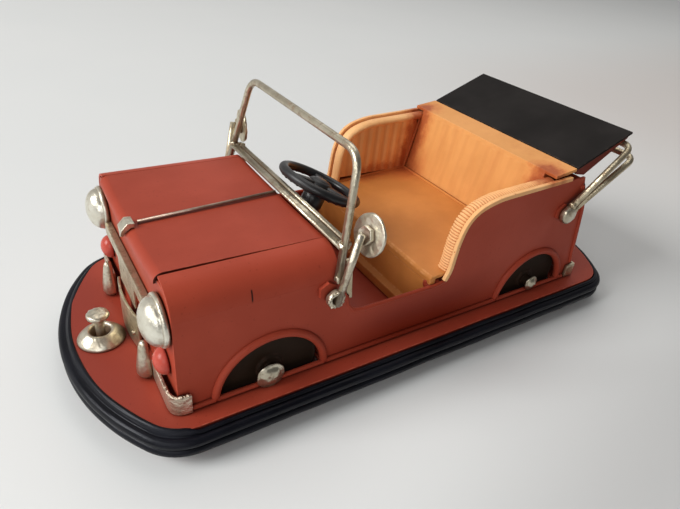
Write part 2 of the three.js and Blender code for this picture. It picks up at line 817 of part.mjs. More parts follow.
function topTray() {
  const points = [
    [topFrontX - 0.3, topFrontZ - 1.8],
    [topFrontX - topLength + 0.4, topFrontZ + topRise - 1.7],
    [topFrontX - topLength + 0.9, topFrontZ + topRise - 3.9],
    [topFrontX - 9, topFrontZ - 6],
    [topFrontX - 2, topFrontZ - 4.6],
  ];
  return sidePlate(outline(points), -topHalf + 1, topHalf - 1);
}

const bowY = bodyHalf + rodRadius + 1.4;

// startZ is the rod's middle at the bolt, endTop its upper side at the far bend
function topBow(startX, startZ, endX, endTop) {
  const near = at(topPivotX + startX, bowY, topPivotZ + startZ);
  const endMiddle = topPivotZ + endTop - rodRadius;
  const nearCorner = at(topPivotX + endX, bowY, endMiddle);
  const farCorner = at(topPivotX + endX, -bowY, endMiddle);
  const far = at(topPivotX + startX, -bowY, topPivotZ + startZ);
  return sweep(roundSection(rodRadius, 10), softPath([near, nearCorner, farCorner, far], 6), 56);
}

function topBolt() {
  const profile = [[0, -4], [boltShaft, -4], [boltShaft, 0], [4.4, 0.3], [4.5, 0.9], [4.5, 2.8], [3.7, 3.8], [0, 4.2]];
  return lathe(profile, alongY, at(topPivotX, bodyHalf + 1.4, topPivotZ), 28);
}

// ---- running gear ----
const axleRadius = 2;

const capY = bodyHalf + 2.2;
const hubRadius = 3.2;

// the axle's domed ends stand just outside the body, through the wheel arches
function axle(axleX) {
  const cap = [[5.2, 0], [5.4, 0.6], [5, 1.5], [3.4, 2.1], [0, 2.3]];
  const near = [[axleRadius, capY], ...cap.map(([radius, out]) => [radius, capY + out])];
  const far = near.map(([radius, along]) => [radius, -along]).reverse();
  return lathe([...far, ...near], alongY, at(axleX, 0, wheelRadius), 24);
}

// its outer hub reaches through the arch as far as the axle's domed end
function wheel() {
  const bore = axleRadius + running;
  const half = wheelWidth / 2;
  const hubEnd = half + capY - seat - wheelOut;
  const profile = [
    [bore, -half],
    [6.5, -half],
    [6.5, -half + 1],
    [wheelRadius - 3, -half + 1],
    [wheelRadius - 1.4, -half + 0.2],
    [wheelRadius, -half + 2],
    [wheelRadius, half - 2],
    [wheelRadius - 1.4, half - 0.2],
    [wheelRadius - 3, half - 1],
    [6.5, half - 1],
    [5.5, half],
    [hubRadius, half],
    [hubRadius, hubEnd],
    [bore, hubEnd],
    [bore, -half],
  ];
  return lathe(profile, alongY, at(0, 0, 0), 28);
}

function axleBearer(axleX) {
  const half = wheelIn - 2.4;
  const high = wheelRadius + 5;
  const points = [
    [-half, floorZ],
    [half, floorZ],
    [half, high],
    [half - 1.5, high],
    [half - 1.5, floorZ + 1.5],
    [1.5 - half, floorZ + 1.5],
    [1.5 - half, high],
    [-half, high],
  ];
  const frame = solid(crossPlate(outline(points), axleX - 5, axleX + 5));
  const bore = solid(rod(at(axleX, -bodyHalf, wheelRadius), at(axleX, bodyHalf, wheelRadius), axleRadius + seat, 24));
  return geometryOf(frame.subtract(bore));
}

// ---- assembly ----
const car = new THREE.Group();
car.name = "bumper_car";

const base = new THREE.Group();
base.name = "base";
base.add(named("platform", platform(), redPaint));
base.add(named("rubber_bumper", rubberRing(), rubber));
base.add(named("post_cup", postFlange(), silver));
base.add(named("front_post", frontPost(), silver));
car.add(base);

const body = new THREE.Group();
body.name = "body";
addPair(body, "side_panel", sidePanel(), redPaint);
body.add(named("hood_panel", hoodPanel(), redPaint));
body.add(named("nose_panel", nosePanel(), redPaint));
body.add(named("dash_panel", dashPanel(), redPaint));
body.add(named("rear_panel", rearPanel(), redPaint));
addPair(body, "rear_bracket", cornerBracket(), silver);
body.add(named("hood_strip", hoodStrip(), silver));
body.add(named("hood_ornament", hoodOrnament(), silver));
body.add(named("grille_top_bar", grilleTopBar(), silver));
body.add(named("grille_lower_plate", grilleLowerPlate(), silver));
addPair(body, "front_bumper", bumperCorner(), silver);
addPair(body, "headlamp", headlamp(), silver);
addPair(body, "marker_light", markerLight(), lampRed);
addPair(body, "overrider", overrider(), silver);
body.add(named("windscreen_frame", windscreen(), silver));
addPair(body, "windscreen_stay", windscreenStay(), silver);
addPair(body, "mirror_arm", mirrorArm(), silver);
body.add(named("mirror_left", mirrorDisc("left"), silver));
body.add(named("mirror_right", otherSide(mirrorDisc("right")), silver));
car.add(body);

const cockpit = new THREE.Group();
cockpit.name = "cockpit";
cockpit.add(named("steering_column", steeringColumn(), plastic));
cockpit.add(named("steering_wheel", steeringWheel(), plastic));
cockpit.add(named("seat_cushion", seatCushion(), tan));
cockpit.add(named("seat_base", seatBase(), tan));
cockpit.add(named("seat_back", seatBack(), tan));
addPair(cockpit, "seat_side", seatSide(), tan);
addPair(cockpit, "seat_edging", seatEdging(), tan);
addPair(cockpit, "seat_piping", seatPiping(), tan);
car.add(cockpit);

const foldedTop = new THREE.Group();
foldedTop.name = "folded_top";
foldedTop.add(named("top_cover", topCover(), black));
foldedTop.add(named("top_tray", topTray(), redPaint));
foldedTop.add(named("top_bow_upper", topBow(-1.4, 5.4, -38, 36.6), silver));
foldedTop.add(named("top_bow_lower", topBow(-4.2, 3.1, -44.5, 29.2), silver));
addPair(foldedTop, "top_bolt", topBolt(), silver);
car.add(foldedTop);

const runningGear = new THREE.Group();
runningGear.name = "running_gear";
for (const [place, axleX] of [["front", frontAxleX], ["rear", rearAxleX]]) {
  runningGear.add(named(place + "_axle", axle(axleX), silver));
  runningGear.add(named(place + "_axle_bearer", axleBearer(axleX), redPaint));
  for (const [sideName, side] of [["left", 1], ["right", -1]]) {
    const spinning = named("wheel_" + place + "_" + sideName, wheel(), plastic);
    spinning.position.set(axleX, side * (wheelOut - wheelWidth / 2), wheelRadius);
    spinning.rotation.z = side > 0 ? 0 : Math.PI;
    runningGear.add(spinning);
  }
}
car.add(runningGear);

export default car;
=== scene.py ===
# Tin model of a vintage bumper car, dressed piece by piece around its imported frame.
# Metres. +X is forward, +Y is the car's left side, +Z is up, and the floor is at z = 0.
import json
import math

import bmesh
import bpy
from mathutils import Matrix, Vector, kdtree, noise


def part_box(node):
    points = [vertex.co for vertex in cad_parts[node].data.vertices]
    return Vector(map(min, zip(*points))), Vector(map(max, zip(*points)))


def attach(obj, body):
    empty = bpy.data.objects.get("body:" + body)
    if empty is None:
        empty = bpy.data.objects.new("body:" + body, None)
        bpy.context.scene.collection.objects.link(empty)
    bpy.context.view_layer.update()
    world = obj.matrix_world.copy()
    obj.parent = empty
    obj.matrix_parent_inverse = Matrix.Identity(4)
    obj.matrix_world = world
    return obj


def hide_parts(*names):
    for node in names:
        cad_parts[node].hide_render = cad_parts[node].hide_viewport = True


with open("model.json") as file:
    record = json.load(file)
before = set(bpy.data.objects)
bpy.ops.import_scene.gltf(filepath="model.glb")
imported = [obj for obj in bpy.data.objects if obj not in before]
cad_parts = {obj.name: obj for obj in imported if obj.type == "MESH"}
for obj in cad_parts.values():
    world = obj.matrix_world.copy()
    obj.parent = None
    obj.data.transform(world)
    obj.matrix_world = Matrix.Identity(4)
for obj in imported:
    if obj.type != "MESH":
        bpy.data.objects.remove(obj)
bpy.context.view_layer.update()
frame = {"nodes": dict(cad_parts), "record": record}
NEAR, FAR = 1, -1


# ---- Camera, floor and light ----
# A hand-held camera in front of the left lamp looks down and back along the car.
# A large soft window light stands ahead of the nose, with a weak ceiling light behind and a small
# pale wall close to the left side. The room fills the shadows.
heading, dip, lean = math.radians(-124.915), math.radians(-32.619), math.radians(6.255)
ahead = Vector((math.cos(dip) * math.cos(heading), math.cos(dip) * math.sin(heading), math.sin(dip)))
level = ahead.cross(Vector((0, 0, 1))).normalized()
above = level.cross(ahead)
camera_right = level * math.cos(lean) + above * math.sin(lean)
camera_up = above * math.cos(lean) - level * math.sin(lean)
camera = bpy.data.objects.new("camera", bpy.data.cameras.new("camera"))
bpy.context.scene.collection.objects.link(camera)
turn = Matrix((camera_right, camera_up, -ahead)).transposed().to_4x4()
camera.matrix_world = Matrix.Translation((0.16815, 0.21869, 0.2017)) @ turn
camera.data.sensor_width = 36
camera.data.lens = 29.13
camera.data.clip_start = 0.01
bpy.context.scene.camera = camera


def area_light(name, place, size, watts, tint):
    """A square soft light at place that shines on the middle of the floor."""
    lamp = bpy.data.lights.new(name, "AREA")
    lamp.size, lamp.energy, lamp.color = size, watts, tint
    holder = bpy.data.objects.new(name, lamp)
    bpy.context.scene.collection.objects.link(holder)
    aim = Vector(place).to_track_quat("Z", "Y").to_matrix().to_4x4()
    holder.matrix_world = Matrix.Translation(place) @ aim


area_light("window", (2.6, -0.44, 1.86), 1.5, 90, (1.0, 0.99, 0.975))
area_light("ceiling", (-0.5, -0.7, 1.7), 1.3, 8, (1.0, 0.97, 0.93))
area_light("pale_wall", (0.42, 0.38, 0.3), 0.3, 0.8, (1.0, 1.0, 1.0))

bpy.context.scene.view_settings.view_transform = "Standard"


def put(tree, kind, settings=None, **sockets):
    """A shader node of that kind. A value that is a socket is linked, and any other is set."""
    made = tree.nodes.new("ShaderNode" + kind)
    for name, value in (settings or {}).items():
        setattr(made, name, value)
    for name, value in sockets.items():
        join(tree, value, made.inputs[name.replace("_", " ")])
    return made


def join(tree, value, socket):
    """Links value to the socket if it is an output, or else sets it there."""
    if isinstance(value, bpy.types.NodeSocket):
        tree.links.new(value, socket)
    elif socket.type == "RGBA" and len(value) == 3:
        socket.default_value = (*value, 1)
    else:
        socket.default_value = value


def mixed(tree, amount, first, second):
    """The colour first where amount is 0 and second where it is 1."""
    made = tree.nodes.new("ShaderNodeMix")
    made.data_type = "RGBA"
    join(tree, amount, made.inputs[0])
    join(tree, first, made.inputs[6])
    join(tree, second, made.inputs[7])
    return made.outputs[2]


def calc(tree, operation, first, second=0.0, third=0.0, clamp=False):
    """One step of arithmetic on values or outputs."""
    made = tree.nodes.new("ShaderNodeMath")
    made.operation, made.use_clamp = operation, clamp
    for value, socket in zip((first, second, third), made.inputs):
        join(tree, value, socket)
    return made.outputs[0]


def between(tree, value, low, high, least=0.0, most=1.0):
    """value from low to high, eased into least to most."""
    made = put(tree, "MapRange", {"interpolation_type": "SMOOTHSTEP"}, Value=value)
    for name, number in (("From Min", low), ("From Max", high), ("To Min", least), ("To Max", most)):
        made.inputs[name].default_value = number
    return made.outputs[0]


def new_material(name):
    material = bpy.data.materials.new(name)
    material.use_nodes = True
    return material, material.node_tree, material.node_tree.nodes["Principled BSDF"]


# the room is pale on the far side and dim on the side of the camera
world = bpy.data.worlds.new("room")
bpy.context.scene.world = world
world.use_nodes = True
room = world.node_tree
away = put(room, "SeparateXYZ", Vector=put(room, "TexCoord").outputs["Generated"]).outputs[1]
glow = room.nodes["Background"]
join(room, between(room, away, -0.7, 0.7, 0.44, 0.10), glow.inputs["Strength"])
glow.inputs["Color"].default_value = (1.0, 0.975, 0.96, 1)

bpy.ops.mesh.primitive_plane_add(size=8, location=(0, 0, 0))
floor = bpy.context.object
floor.name = "floor"
card, tree, skin = new_material("pale_card")
coords = put(tree, "TexCoord").outputs["Object"]
cloud = put(tree, "TexNoise", Vector=coords, Scale=6.0, Detail=3.0).outputs[0]
colour = mixed(tree, cloud, (0.72, 0.74, 0.74), (0.75, 0.765, 0.76))
# the card is a little greyer in front of the left side, a painted shadow, and a little darker and warmer
# behind the tail, a painted shadow in warm light
split = put(tree, "SeparateXYZ", Vector=coords).outputs
# painted shadow: grey rises across a soft band in front of the left side
before = calc(tree, "MULTIPLY_ADD", split[0], -0.2, split[1])
colour = mixed(tree, between(tree, before, 0.10, 0.19, 0.0, 0.62), colour, (0.42, 0.42, 0.42))
# painted shadow in warm light: a darker warm tone behind the tail
past_tail = between(tree, split[0], -0.6, -0.15, 1.0, 0.0)
behind = calc(tree, "MULTIPLY", past_tail, between(tree, split[1], -0.6, -0.2))
colour = mixed(tree, behind, colour, (0.66, 0.63, 0.61))
join(tree, colour, skin.inputs["Base Color"])
skin.inputs["Roughness"].default_value = 0.9
floor.data.materials.append(card)


# ---- Deck ----
# Flat tray of folded tin plate, painted satin red. The rubber ring is pressed round its rim, and
# the body stands on it. The paint is thinner along the folds and painted lighter there as a highlight, the
# corners are darkened as painted shade, and specks of dirt lie over it.
def node_group(name, inputs, outputs):
    """An empty shader group with number inputs and outputs, and its two inner ends."""
    group = bpy.data.node_groups.new(name, "ShaderNodeTree")
    for label, value in inputs.items():
        socket = group.interface.new_socket(label, in_out="INPUT", socket_type="NodeSocketFloat")
        socket.default_value = value
    for label in outputs:
        group.interface.new_socket(label, in_out="OUTPUT", socket_type="NodeSocketFloat")
    return group, group.nodes.new("NodeGroupInput").outputs, group.nodes.new("NodeGroupOutput").inputs


# wear of hand-finished tin, with painted light: clouds of tone, small specks, rubbed folds that also
# carry a painted highlight, shut-in recesses that give painted shade on paint and rubber and patina on metal,
# grain
wear_and_shade_group, given, result = node_group(
    "hand_wear_and_shade",
    {"Cloud Scale": 22.0, "Speck Amount": 0.3, "Recess Reach": 0.004},
    ("Cloud", "Speck", "Rubbed Highlight", "Recess", "Grain"),
)
coords = put(wear_and_shade_group, "TexCoord").outputs["Object"]
cloud = put(wear_and_shade_group, "TexNoise", Vector=coords, Scale=given["Cloud Scale"], Detail=4.0, Roughness=0.55)
join(wear_and_shade_group, between(wear_and_shade_group, cloud.outputs[0], 0.3, 0.7), result["Cloud"])
speck = put(wear_and_shade_group, "TexNoise", Vector=coords, Scale=620.0, Detail=2.0, Roughness=0.6).outputs[0]
speck_level = calc(wear_and_shade_group, "MULTIPLY", between(wear_and_shade_group, speck, 0.66, 0.74), given["Speck Amount"])
join(wear_and_shade_group, speck_level, result["Speck"])
fold = put(wear_and_shade_group, "Attribute", {"attribute_name": "fold"}).outputs["Fac"]
chip = put(wear_and_shade_group, "TexNoise", Vector=coords, Scale=260.0, Detail=4.0, Roughness=0.65).outputs[0]
join(wear_and_shade_group, calc(wear_and_shade_group, "MULTIPLY", fold, between(wear_and_shade_group, chip, 0.42, 0.62)), result["Rubbed Highlight"])
shut = put(wear_and_shade_group, "AmbientOcclusion", {"samples": 12}, Distance=given["Recess Reach"]).outputs["AO"]
join(wear_and_shade_group, calc(wear_and_shade_group, "SUBTRACT", 1.0, shut, clamp=True), result["Recess"])
peel = put(wear_and_shade_group, "TexNoise", Vector=coords, Scale=900.0, Detail=2.0).outputs[0]
dent = put(wear_and_shade_group, "TexNoise", Vector=coords, Scale=45.0, Detail=2.0).outputs[0]
join(wear_and_shade_group, calc(wear_and_shade_group, "MULTIPLY_ADD", dent, 6.0, peel), result["Grain"])


def worn(tree, cloud_scale=22.0, specks=0.3, reach=0.004):
    """The outputs of the wear and shade group, set for one finish."""
    made = tree.nodes.new("ShaderNodeGroup")
    made.node_tree = wear_and_shade_group
    made.inputs["Cloud Scale"].default_value = cloud_scale
    made.inputs["Speck Amount"].default_value = specks
    made.inputs["Recess Reach"].default_value = reach
    return made.outputs


def grain_bump(tree, height, skin, strength, depth):
    """Raises the surface of a finish by height."""
    bump = put(tree, "Bump", Height=height, Strength=strength, Distance=depth)
    tree.links.new(bump.outputs[0], skin.inputs["Normal"])


def paint(name, light, dark, rubbed_and_highlight, dirt_and_shade, roughness, specks=0.3, shine=0.22, nick=None, deep=None):
    """Hand-brushed paint. nick is (x, low z, high z) of a scratch, and deep a darker patch of painted light
    round x: (tone, x, reach along x, low z, high z).
    """
    material, tree, skin = new_material(name)
    wear = worn(tree, specks=specks)
    colour = mixed(tree, wear["Cloud"], dark, light)
    # painted light: the deep patch is painted shade at the front of the deck and a painted dark reflection
    # under the door on the sides
    if deep:
        shade_tone, x, reach_x, low, high = deep
        split = put(tree, "SeparateXYZ", Vector=put(tree, "TexCoord").outputs["Object"]).outputs
        along = calc(tree, "ABSOLUTE", calc(tree, "SUBTRACT", split[0], x))
        shade_near_x = between(tree, along, 0.01, reach_x, 0.9, 0.0)
        share = calc(tree, "MULTIPLY", shade_near_x, between(tree, split[2], low, high, 1.0, 0.0))
        colour = mixed(tree, share, colour, shade_tone)
    # folds go lighter: paint rubbed thin, and a painted highlight on the edges
    colour = mixed(tree, calc(tree, "MULTIPLY", wear["Rubbed Highlight"], 0.7), colour, rubbed_and_highlight)
    # painted shade: recesses found by ambient occlusion and the marked hood seam go toward the dark colour,
    # which also colours the dirt specks
    painted_shade = between(tree, wear["Recess"], 0.25, 0.95, 0.0, 0.8)
    shut = put(tree, "Attribute", {"attribute_name": "shut"}).outputs["Fac"]
    painted_shade = calc(tree, "MAXIMUM", painted_shade, calc(tree, "MULTIPLY", shut, 0.97))
    colour = mixed(tree, calc(tree, "MAXIMUM", painted_shade, wear["Speck"]), colour, dirt_and_shade)
    if nick:
        x, low, high = nick
        split = put(tree, "SeparateXYZ", Vector=put(tree, "TexCoord").outputs["Object"]).outputs
        off = calc(tree, "ABSOLUTE", calc(tree, "SUBTRACT", split[0], x))
        thin = between(tree, off, 0.0002, 0.0005, 1.0, 0.0)
        mark = calc(tree, "MULTIPLY", thin, between(tree, split[1], 0, 0.01))
        mark = calc(tree, "MULTIPLY", mark, between(tree, split[2], low, low + 0.002))
        mark = calc(tree, "MULTIPLY", mark, between(tree, split[2], high - 0.001, high, 1.0, 0.0))
        colour = mixed(tree, mark, colour, (0.03, 0.008, 0.006))
    join(tree, colour, skin.inputs["Base Color"])
    dull = between(tree, wear["Cloud"], 0.0, 1.0, roughness + 0.06, roughness - 0.05)
    join(tree, dull, skin.inputs["Roughness"])
    skin.inputs["Specular IOR Level"].default_value = shine
    grain_bump(tree, wear["Grain"], skin, 0.25, 0.00008)
    return material


red_paint = paint(
    "red_paint",
    light=(0.385, 0.055, 0.027),
    dark=(0.32, 0.044, 0.021),
    rubbed_and_highlight=(0.52, 0.11, 0.06),
    dirt_and_shade=(0.060, 0.010, 0.006),
    roughness=0.42,
    specks=0.25,
)

body_of_node = {
    node: body for body, nodes in frame["record"]["behaviour"]["bodies"].items() for node in nodes
}


def merged_copy(node):
    """The CAD node's surface as one joined shell with its flat faces whole."""
    work = bmesh.new()
    work.from_mesh(frame["nodes"][node].data)
    bmesh.ops.remove_doubles(work, verts=work.verts, dist=2e-6)
    bmesh.ops.dissolve_limit(work, angle_limit=math.radians(0.6), verts=work.verts, edges=work.edges)
    return work


def piece(name, work, material, body, replaced=()):
    """Closes off a bmesh as a finished, smooth-shaded piece that rides on body."""
    for face in work.faces:
        face.smooth = True
    mesh = bpy.data.meshes.new(name)
    work.to_mesh(mesh)
    work.free()
    mesh.materials.append(material)
    made = bpy.data.objects.new(name, mesh)
    bpy.context.scene.collection.objects.link(made)
    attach(made, body)
    if replaced:
        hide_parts(*replaced)
    return made


def round_folds(work, width, sharper_than=40, segments=2):
    """Rounds the sharp edges and notes them as folds, where paint rubs thin and is painted lighter as a
    highlight.
    """
    sharp = [e for e in work.edges if e.is_manifold and e.calc_face_angle(0) > math.radians(sharper_than)]
    made = bmesh.ops.bevel(
        work,
        geom=sharp,
        offset=width,
        offset_type="OFFSET",
        segments=segments,
        profile=0.5,
        affect="EDGES",
        clamp_overlap=True,
        material=-1,
    )
    folds = work.loops.layers.float.new("fold")
    for face in made["faces"]:
        for corner in face.loops:
            corner[folds] = 1.0


def even_shading(made):
    """Shades flat faces flat right up to their rounded folds."""
    weigh = made.modifiers.new("even_shading", "WEIGHTED_NORMAL")
    weigh.mode = "FACE_AREA"
    weigh.weight = 80
    weigh.keep_sharp = True
    return made


def finished(node, material, width=0.00025, sharper_than=40):
    """The node with rounded edges, a maker's finish and its own body."""
    work = merged_copy(node)
    round_folds(work, width, sharper_than)
    made = piece(node + "_finished", work, material, body_of_node[node], [node])
    return even_shading(made)


deck_red = paint(
    "deck_red",
    light=(0.39, 0.058, 0.030),
    dark=(0.33, 0.047, 0.024),
    rubbed_and_highlight=(0.52, 0.12, 0.07),
    dirt_and_shade=(0.055, 0.010, 0.006),
    roughness=0.46,
    specks=0.4,
    # painted shade: the nose end of the deck is darker
    deep=((0.25, 0.036, 0.022), 0.165, 0.052, 0.03, 0.04),
)
finished("platform", deck_red, 0.0004)


# ---- Rubber ring ----
# One extruded strip of black rubber with three round ribs, pressed round the rim of the deck.
# Its ends butt together behind the tail.
ring_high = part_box("rubber_bumper")[1]
deck_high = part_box("platform")[1]
end_bow = 0.1067
corner_radius = 0.02
straight_steps = 24
lap_step = 0.001
lap_reach = 0.0017


def rim_path(grow, steps=10):
    """Outline of the deck grown by that much: two bowed ends, four soft corners, straight sides."""
    half = deck_high.y + grow
    bow, corner = end_bow + grow, corner_radius + grow
    centre = deck_high.x - end_bow
    corner_x = math.sqrt((bow - corner) ** 2 - (half - corner) ** 2)
    meet = math.atan2(half - corner, corner_x)
    points = []
    for side in (1, -1):
        for i in range(steps):
            angle = -math.pi / 2 + (math.pi / 2 - meet) * i / steps
            x, y = centre + corner_x + corner * math.cos(angle), corner - half + corner * math.sin(angle)
            points.append(Vector((side * x, side * y, 0)))
        for i in range(4 * steps + 1):
            angle = -meet + 2 * meet * i / (4 * steps)
            points.append(Vector((side * (centre + bow * math.cos(angle)), side * bow * math.sin(angle), 0)))
        for i in range(1, steps + 1):
            angle = meet + (math.pi / 2 - meet) * i / steps
            x, y = centre + corner_x + corner * math.cos(angle), half - corner + corner * math.sin(angle)
            points.append(Vector((side * x, side * y, 0)))
        for i in range(1, straight_steps):
            x = (centre + corner_x) * (1 - 2 * i / straight_steps)
            points.append(Vector((side * x, side * half, 0)))
    return points


def bead(offset, drop, radius, first, last, steps):
    """Part of a round rib in the section of the ring, as (outward, downward) points."""
    turns = [math.radians(first + (last - first) * i / steps) for i in range(steps + 1)]
    return [(offset + radius * math.cos(a), drop + radius * math.sin(a)) for a in turns]


rib_profile = bead(0.0013, -0.0010, 0.0010, 175, -60, 8)
rib_profile += bead(0.0027, -0.0043, 0.0025, 100, -80, 12)
rib_profile += bead(0.0026, -0.0090, 0.0024, 85, -100, 12) + [(0.0004, -0.0118)]


def lap(spot):
    """How far the top rib laps onto the deck round the nose, up to a torn nick near the left corner."""
    along = spot.x - deck_high.x
    torn = 0.035 + 0.002 * noise.noise(spot * 900)
    reach = min(max((along + (torn if spot.y > 0 else 0.09)) / 0.004, 0), 1)
    return reach * lap_reach


work = bmesh.new()
rows = []
for offset, drop in rib_profile:
    row = []
    top = max(0.0, 1 + drop / 0.0019)
    for spot, inner in zip(rim_path(offset), rim_path(offset - lap_step)):
        sway = noise.noise(spot * 45 + Vector((0, 0, drop * 90))) * 0.0005 - 0.0002
        over = lap(spot) * min(1.0, top * 1.6)
        place = spot.lerp(inner, over / lap_step)
        place.z = ring_high.z + drop + min(sway, 0.0002) + 0.45 * over
        row.append(work.verts.new(place))
    loop = [work.edges.new((row[i - 1], row[i])) for i in range(len(row))]
    rows.append(loop)
for i in range(len(rows)):
    bmesh.ops.bridge_loops(work, edges=rows[i - 1] + rows[i])
bmesh.ops.recalc_face_normals(work, faces=work.faces)

black_rubber, tree, skin = new_material("black_rubber")
wear = worn(tree, 30.0, 0.5, 0.002)
# dust and a painted blue sheen: the cloud lightens the black toward a bluish grey
dust_and_sheen = calc(tree, "MULTIPLY", wear["Cloud"], 0.5)
colour = mixed(tree, dust_and_sheen, (0.002, 0.002, 0.004), (0.009, 0.010, 0.017))
# painted shade: the grooves between the ribs go darker
colour = mixed(tree, between(tree, wear["Recess"], 0.25, 0.7, 0.0, 0.9), colour, (0.001, 0.001, 0.0015))
join(tree, colour, skin.inputs["Base Color"])
join(tree, between(tree, wear["Cloud"], 0.0, 1.0, 0.34, 0.5), skin.inputs["Roughness"])
skin.inputs["Specular IOR Level"].default_value = 0.2
skin.inputs["Specular Tint"].default_value = (0.90, 0.93, 1.0, 1)
coords = put(tree, "TexCoord").outputs["Object"]
lines_map = put(tree, "Mapping", Vector=coords, Scale=(14.0, 14.0, 520.0)).outputs[0]
lines = put(tree, "TexNoise", Vector=lines_map, Scale=1.0, Detail=3.0, Roughness=0.6).outputs[0]
grain_bump(tree, calc(tree, "MULTIPLY_ADD", lines, 9.0, wear["Grain"]), skin, 0.5, 0.00012)
piece("ribbed_rubber_ring", work, black_rubber, "car_body", ["rubber_bumper"])


# ---- Body, hood and nose ----
# Tin sheets bent and soldered together: two sides with rolled shoulders and wired arches, a hood
# that sags along its middle, a nose plate, a dash plate and a tail plate, all in the red paint.
def bar(points, radius, sides=16, corner=0.0, swell=None):
    """A rod along those points as a closed mesh, with its bends rounded to the corner size."""
    path = [Vector(point) for point in points]
    if corner:
        path = soft_bends(path, corner)
    data = bpy.data.curves.new("rod", "CURVE")
    data.dimensions = "3D"
    data.bevel_depth, data.bevel_resolution = radius, sides // 4
    data.use_fill_caps = True
    line = data.splines.new("POLY")
    line.points.add(len(path) - 1)
    for i, spot in enumerate(path):
        line.points[i].co = (*spot, 1)
        line.points[i].radius = swell(i) if swell else 1.0
    holder = bpy.data.objects.new("rod", data)
    bpy.context.scene.collection.objects.link(holder)
    shell = bpy.data.meshes.new_from_object(holder.evaluated_get(bpy.context.evaluated_depsgraph_get()))
    bpy.data.objects.remove(holder)
    bpy.data.curves.remove(data)
    work = bmesh.new()
    work.from_mesh(shell)
    bpy.data.meshes.remove(shell)
    bmesh.ops.remove_doubles(work, verts=work.verts, dist=1e-6)
    bmesh.ops.recalc_face_normals(work, faces=work.faces)
    return work


def soft_bends(path, corner, steps=10):
    """The path with each bend drawn as a soft curve that starts and ends corner away from it."""
    soft = [path[0]]
    for before, bend, after in zip(path, path[1:], path[2:]):
        start = bend + (before - bend).normalized() * corner
        end = bend + (after - bend).normalized() * corner
        for i in range(steps + 1):
            t = i / steps
            soft.append(start * (1 - t) ** 2 + bend * 2 * t * (1 - t) + end * t**2)
    return soft + [path[-1]]


def bmesh_to_mesh(work):
    """Moves a bmesh into a new mesh."""
    made = bpy.data.meshes.new("part")
    work.to_mesh(made)
    work.free()
    return made


def joined(*works):
    """Several shells in one bmesh."""
    whole = works[0]
    for other in works[1:]:
        part = bmesh_to_mesh(other)
        whole.from_mesh(part)
        bpy.data.meshes.remove(part)
    return whole


def solder(work, spots):
    """Adds lumps of solder to a shell: each spot is (centre, size)."""
    for number, (centre, size) in enumerate(spots):
        lump = bmesh.new()
        bmesh.ops.create_icosphere(lump, subdivisions=3, radius=size)
        for vert in lump.verts:
            vert.co *= 1 + 0.45 * noise.noise(vert.co / size * 1.3 + Vector((7.3 * number, size * 900, 0)))
            vert.co += Vector(centre)
        part = bmesh_to_mesh(lump)
        work.from_mesh(part)
        bpy.data.meshes.remove(part)


# the sides' red is lighter and more orange than the hood's, as painted light on the sides
side_red = paint(
    "side_red",
    light=(0.44, 0.070, 0.037),
    dark=(0.37, 0.056, 0.029),
    rubbed_and_highlight=(0.56, 0.13, 0.075),
    dirt_and_shade=(0.060, 0.010, 0.006),
    roughness=0.42,
    specks=0.25,
    shine=0.12,
    nick=(0.0967, 0.0645, 0.0712),
    # painted dark reflection: a darker patch on the sides under the door
    deep=((0.20, 0.018, 0.006), 0.004, 0.07, 0.028, 0.052),
)
both_sides = (("left", NEAR), ("right", FAR))
arch_wire = 0.0266
for label, side in both_sides:
    low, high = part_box("side_panel_" + label)
    work = merged_copy("side_panel_" + label)
    round_folds(work, 0.0003, 50)
    skin_y = side * 0.0601
    edge = [(low.x + back, skin_y, up) for back, up in ((0.0034, 0.0285), (0.0112, 0.0689), (0.0182, 0.083))]
    work = joined(work, bar(edge, 0.0012, 12, 0.005))
    # a thick wire is soldered round each arch, and a thinner one along the door opening
    for end in ("front", "rear"):
        axle_x = sum(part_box(end + "_axle")[i].x for i in (0, 1)) / 2
        turns = [math.radians(2 + 176 * i / 40) for i in range(41)]
        swing = [(arch_wire * math.cos(a), arch_wire * math.sin(a)) for a in turns]
        arc = [(axle_x + along, skin_y, deck_high.z + up) for along, up in swing]
        work = joined(work, bar(arc, 0.0020, 14))
    door_x, sill_z = 0.0507, deck_high.z + 0.025
    door = [(0.0, 0.011), (-0.001, 0.005), (-0.0045, 0.001), (-0.010, 0.0), (-0.053, 0.0), (-0.0606, 0.0012)]
    door = [(door_x + back, side * 0.0592, sill_z + up - 0.0003) for back, up in door]
    work = joined(work, bar(door, 0.0011, 12, 0.0015))
    # lumps of paint fill the corner between the cushion and the body side
    lumps = ((-0.0092, 0.003), (-0.0055, 0.0029), (-0.002, 0.0025))
    solder(work, [((x, side * 0.0558, sill_z - 0.0008), size) for x, size in lumps])
    name = "side_sheet_" + label
    even_shading(piece(name, work, side_red, "car_body", ["side_panel_" + label]))
for node in ("nose_panel", "dash_panel", "rear_panel"):
    finished(node, red_paint, 0.0003)

# the hood sheet draws back from the left shoulder towards the nose, which leaves an open seam whose edge is
# painted dark as painted shade in the gap; on the right the seam is filled
hood_low, hood_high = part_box("hood_panel")
cowl, hood_half = hood_low.x, hood_high.y
work = merged_copy("hood_panel")
for vert in work.verts:
    ahead = (vert.co.x - cowl) / (hood_high.x - cowl)
    if abs(vert.co.y) > hood_half - 0.003:
        vert.co.y -= 0.0015 * ahead if vert.co.y > 0 else 0.0004
round_folds(work, 0.0003)
# painted shade: the left edge faces of the hood go dark toward the nose
shut = work.loops.layers.float.new("shut")
for face in work.faces:
    if face.normal.y > 0.5 and face.calc_center_median().y > hood_half - 0.003:
        for corner in face.loops:
            ahead = (corner.vert.co.x - cowl) / (hood_high.x - cowl)
            corner[shut] = min(1.0, max(0.0, 2.5 * ahead - 0.6))
even_shading(piece("sagging_hood", work, red_paint, "car_body", ["hood_panel"]))


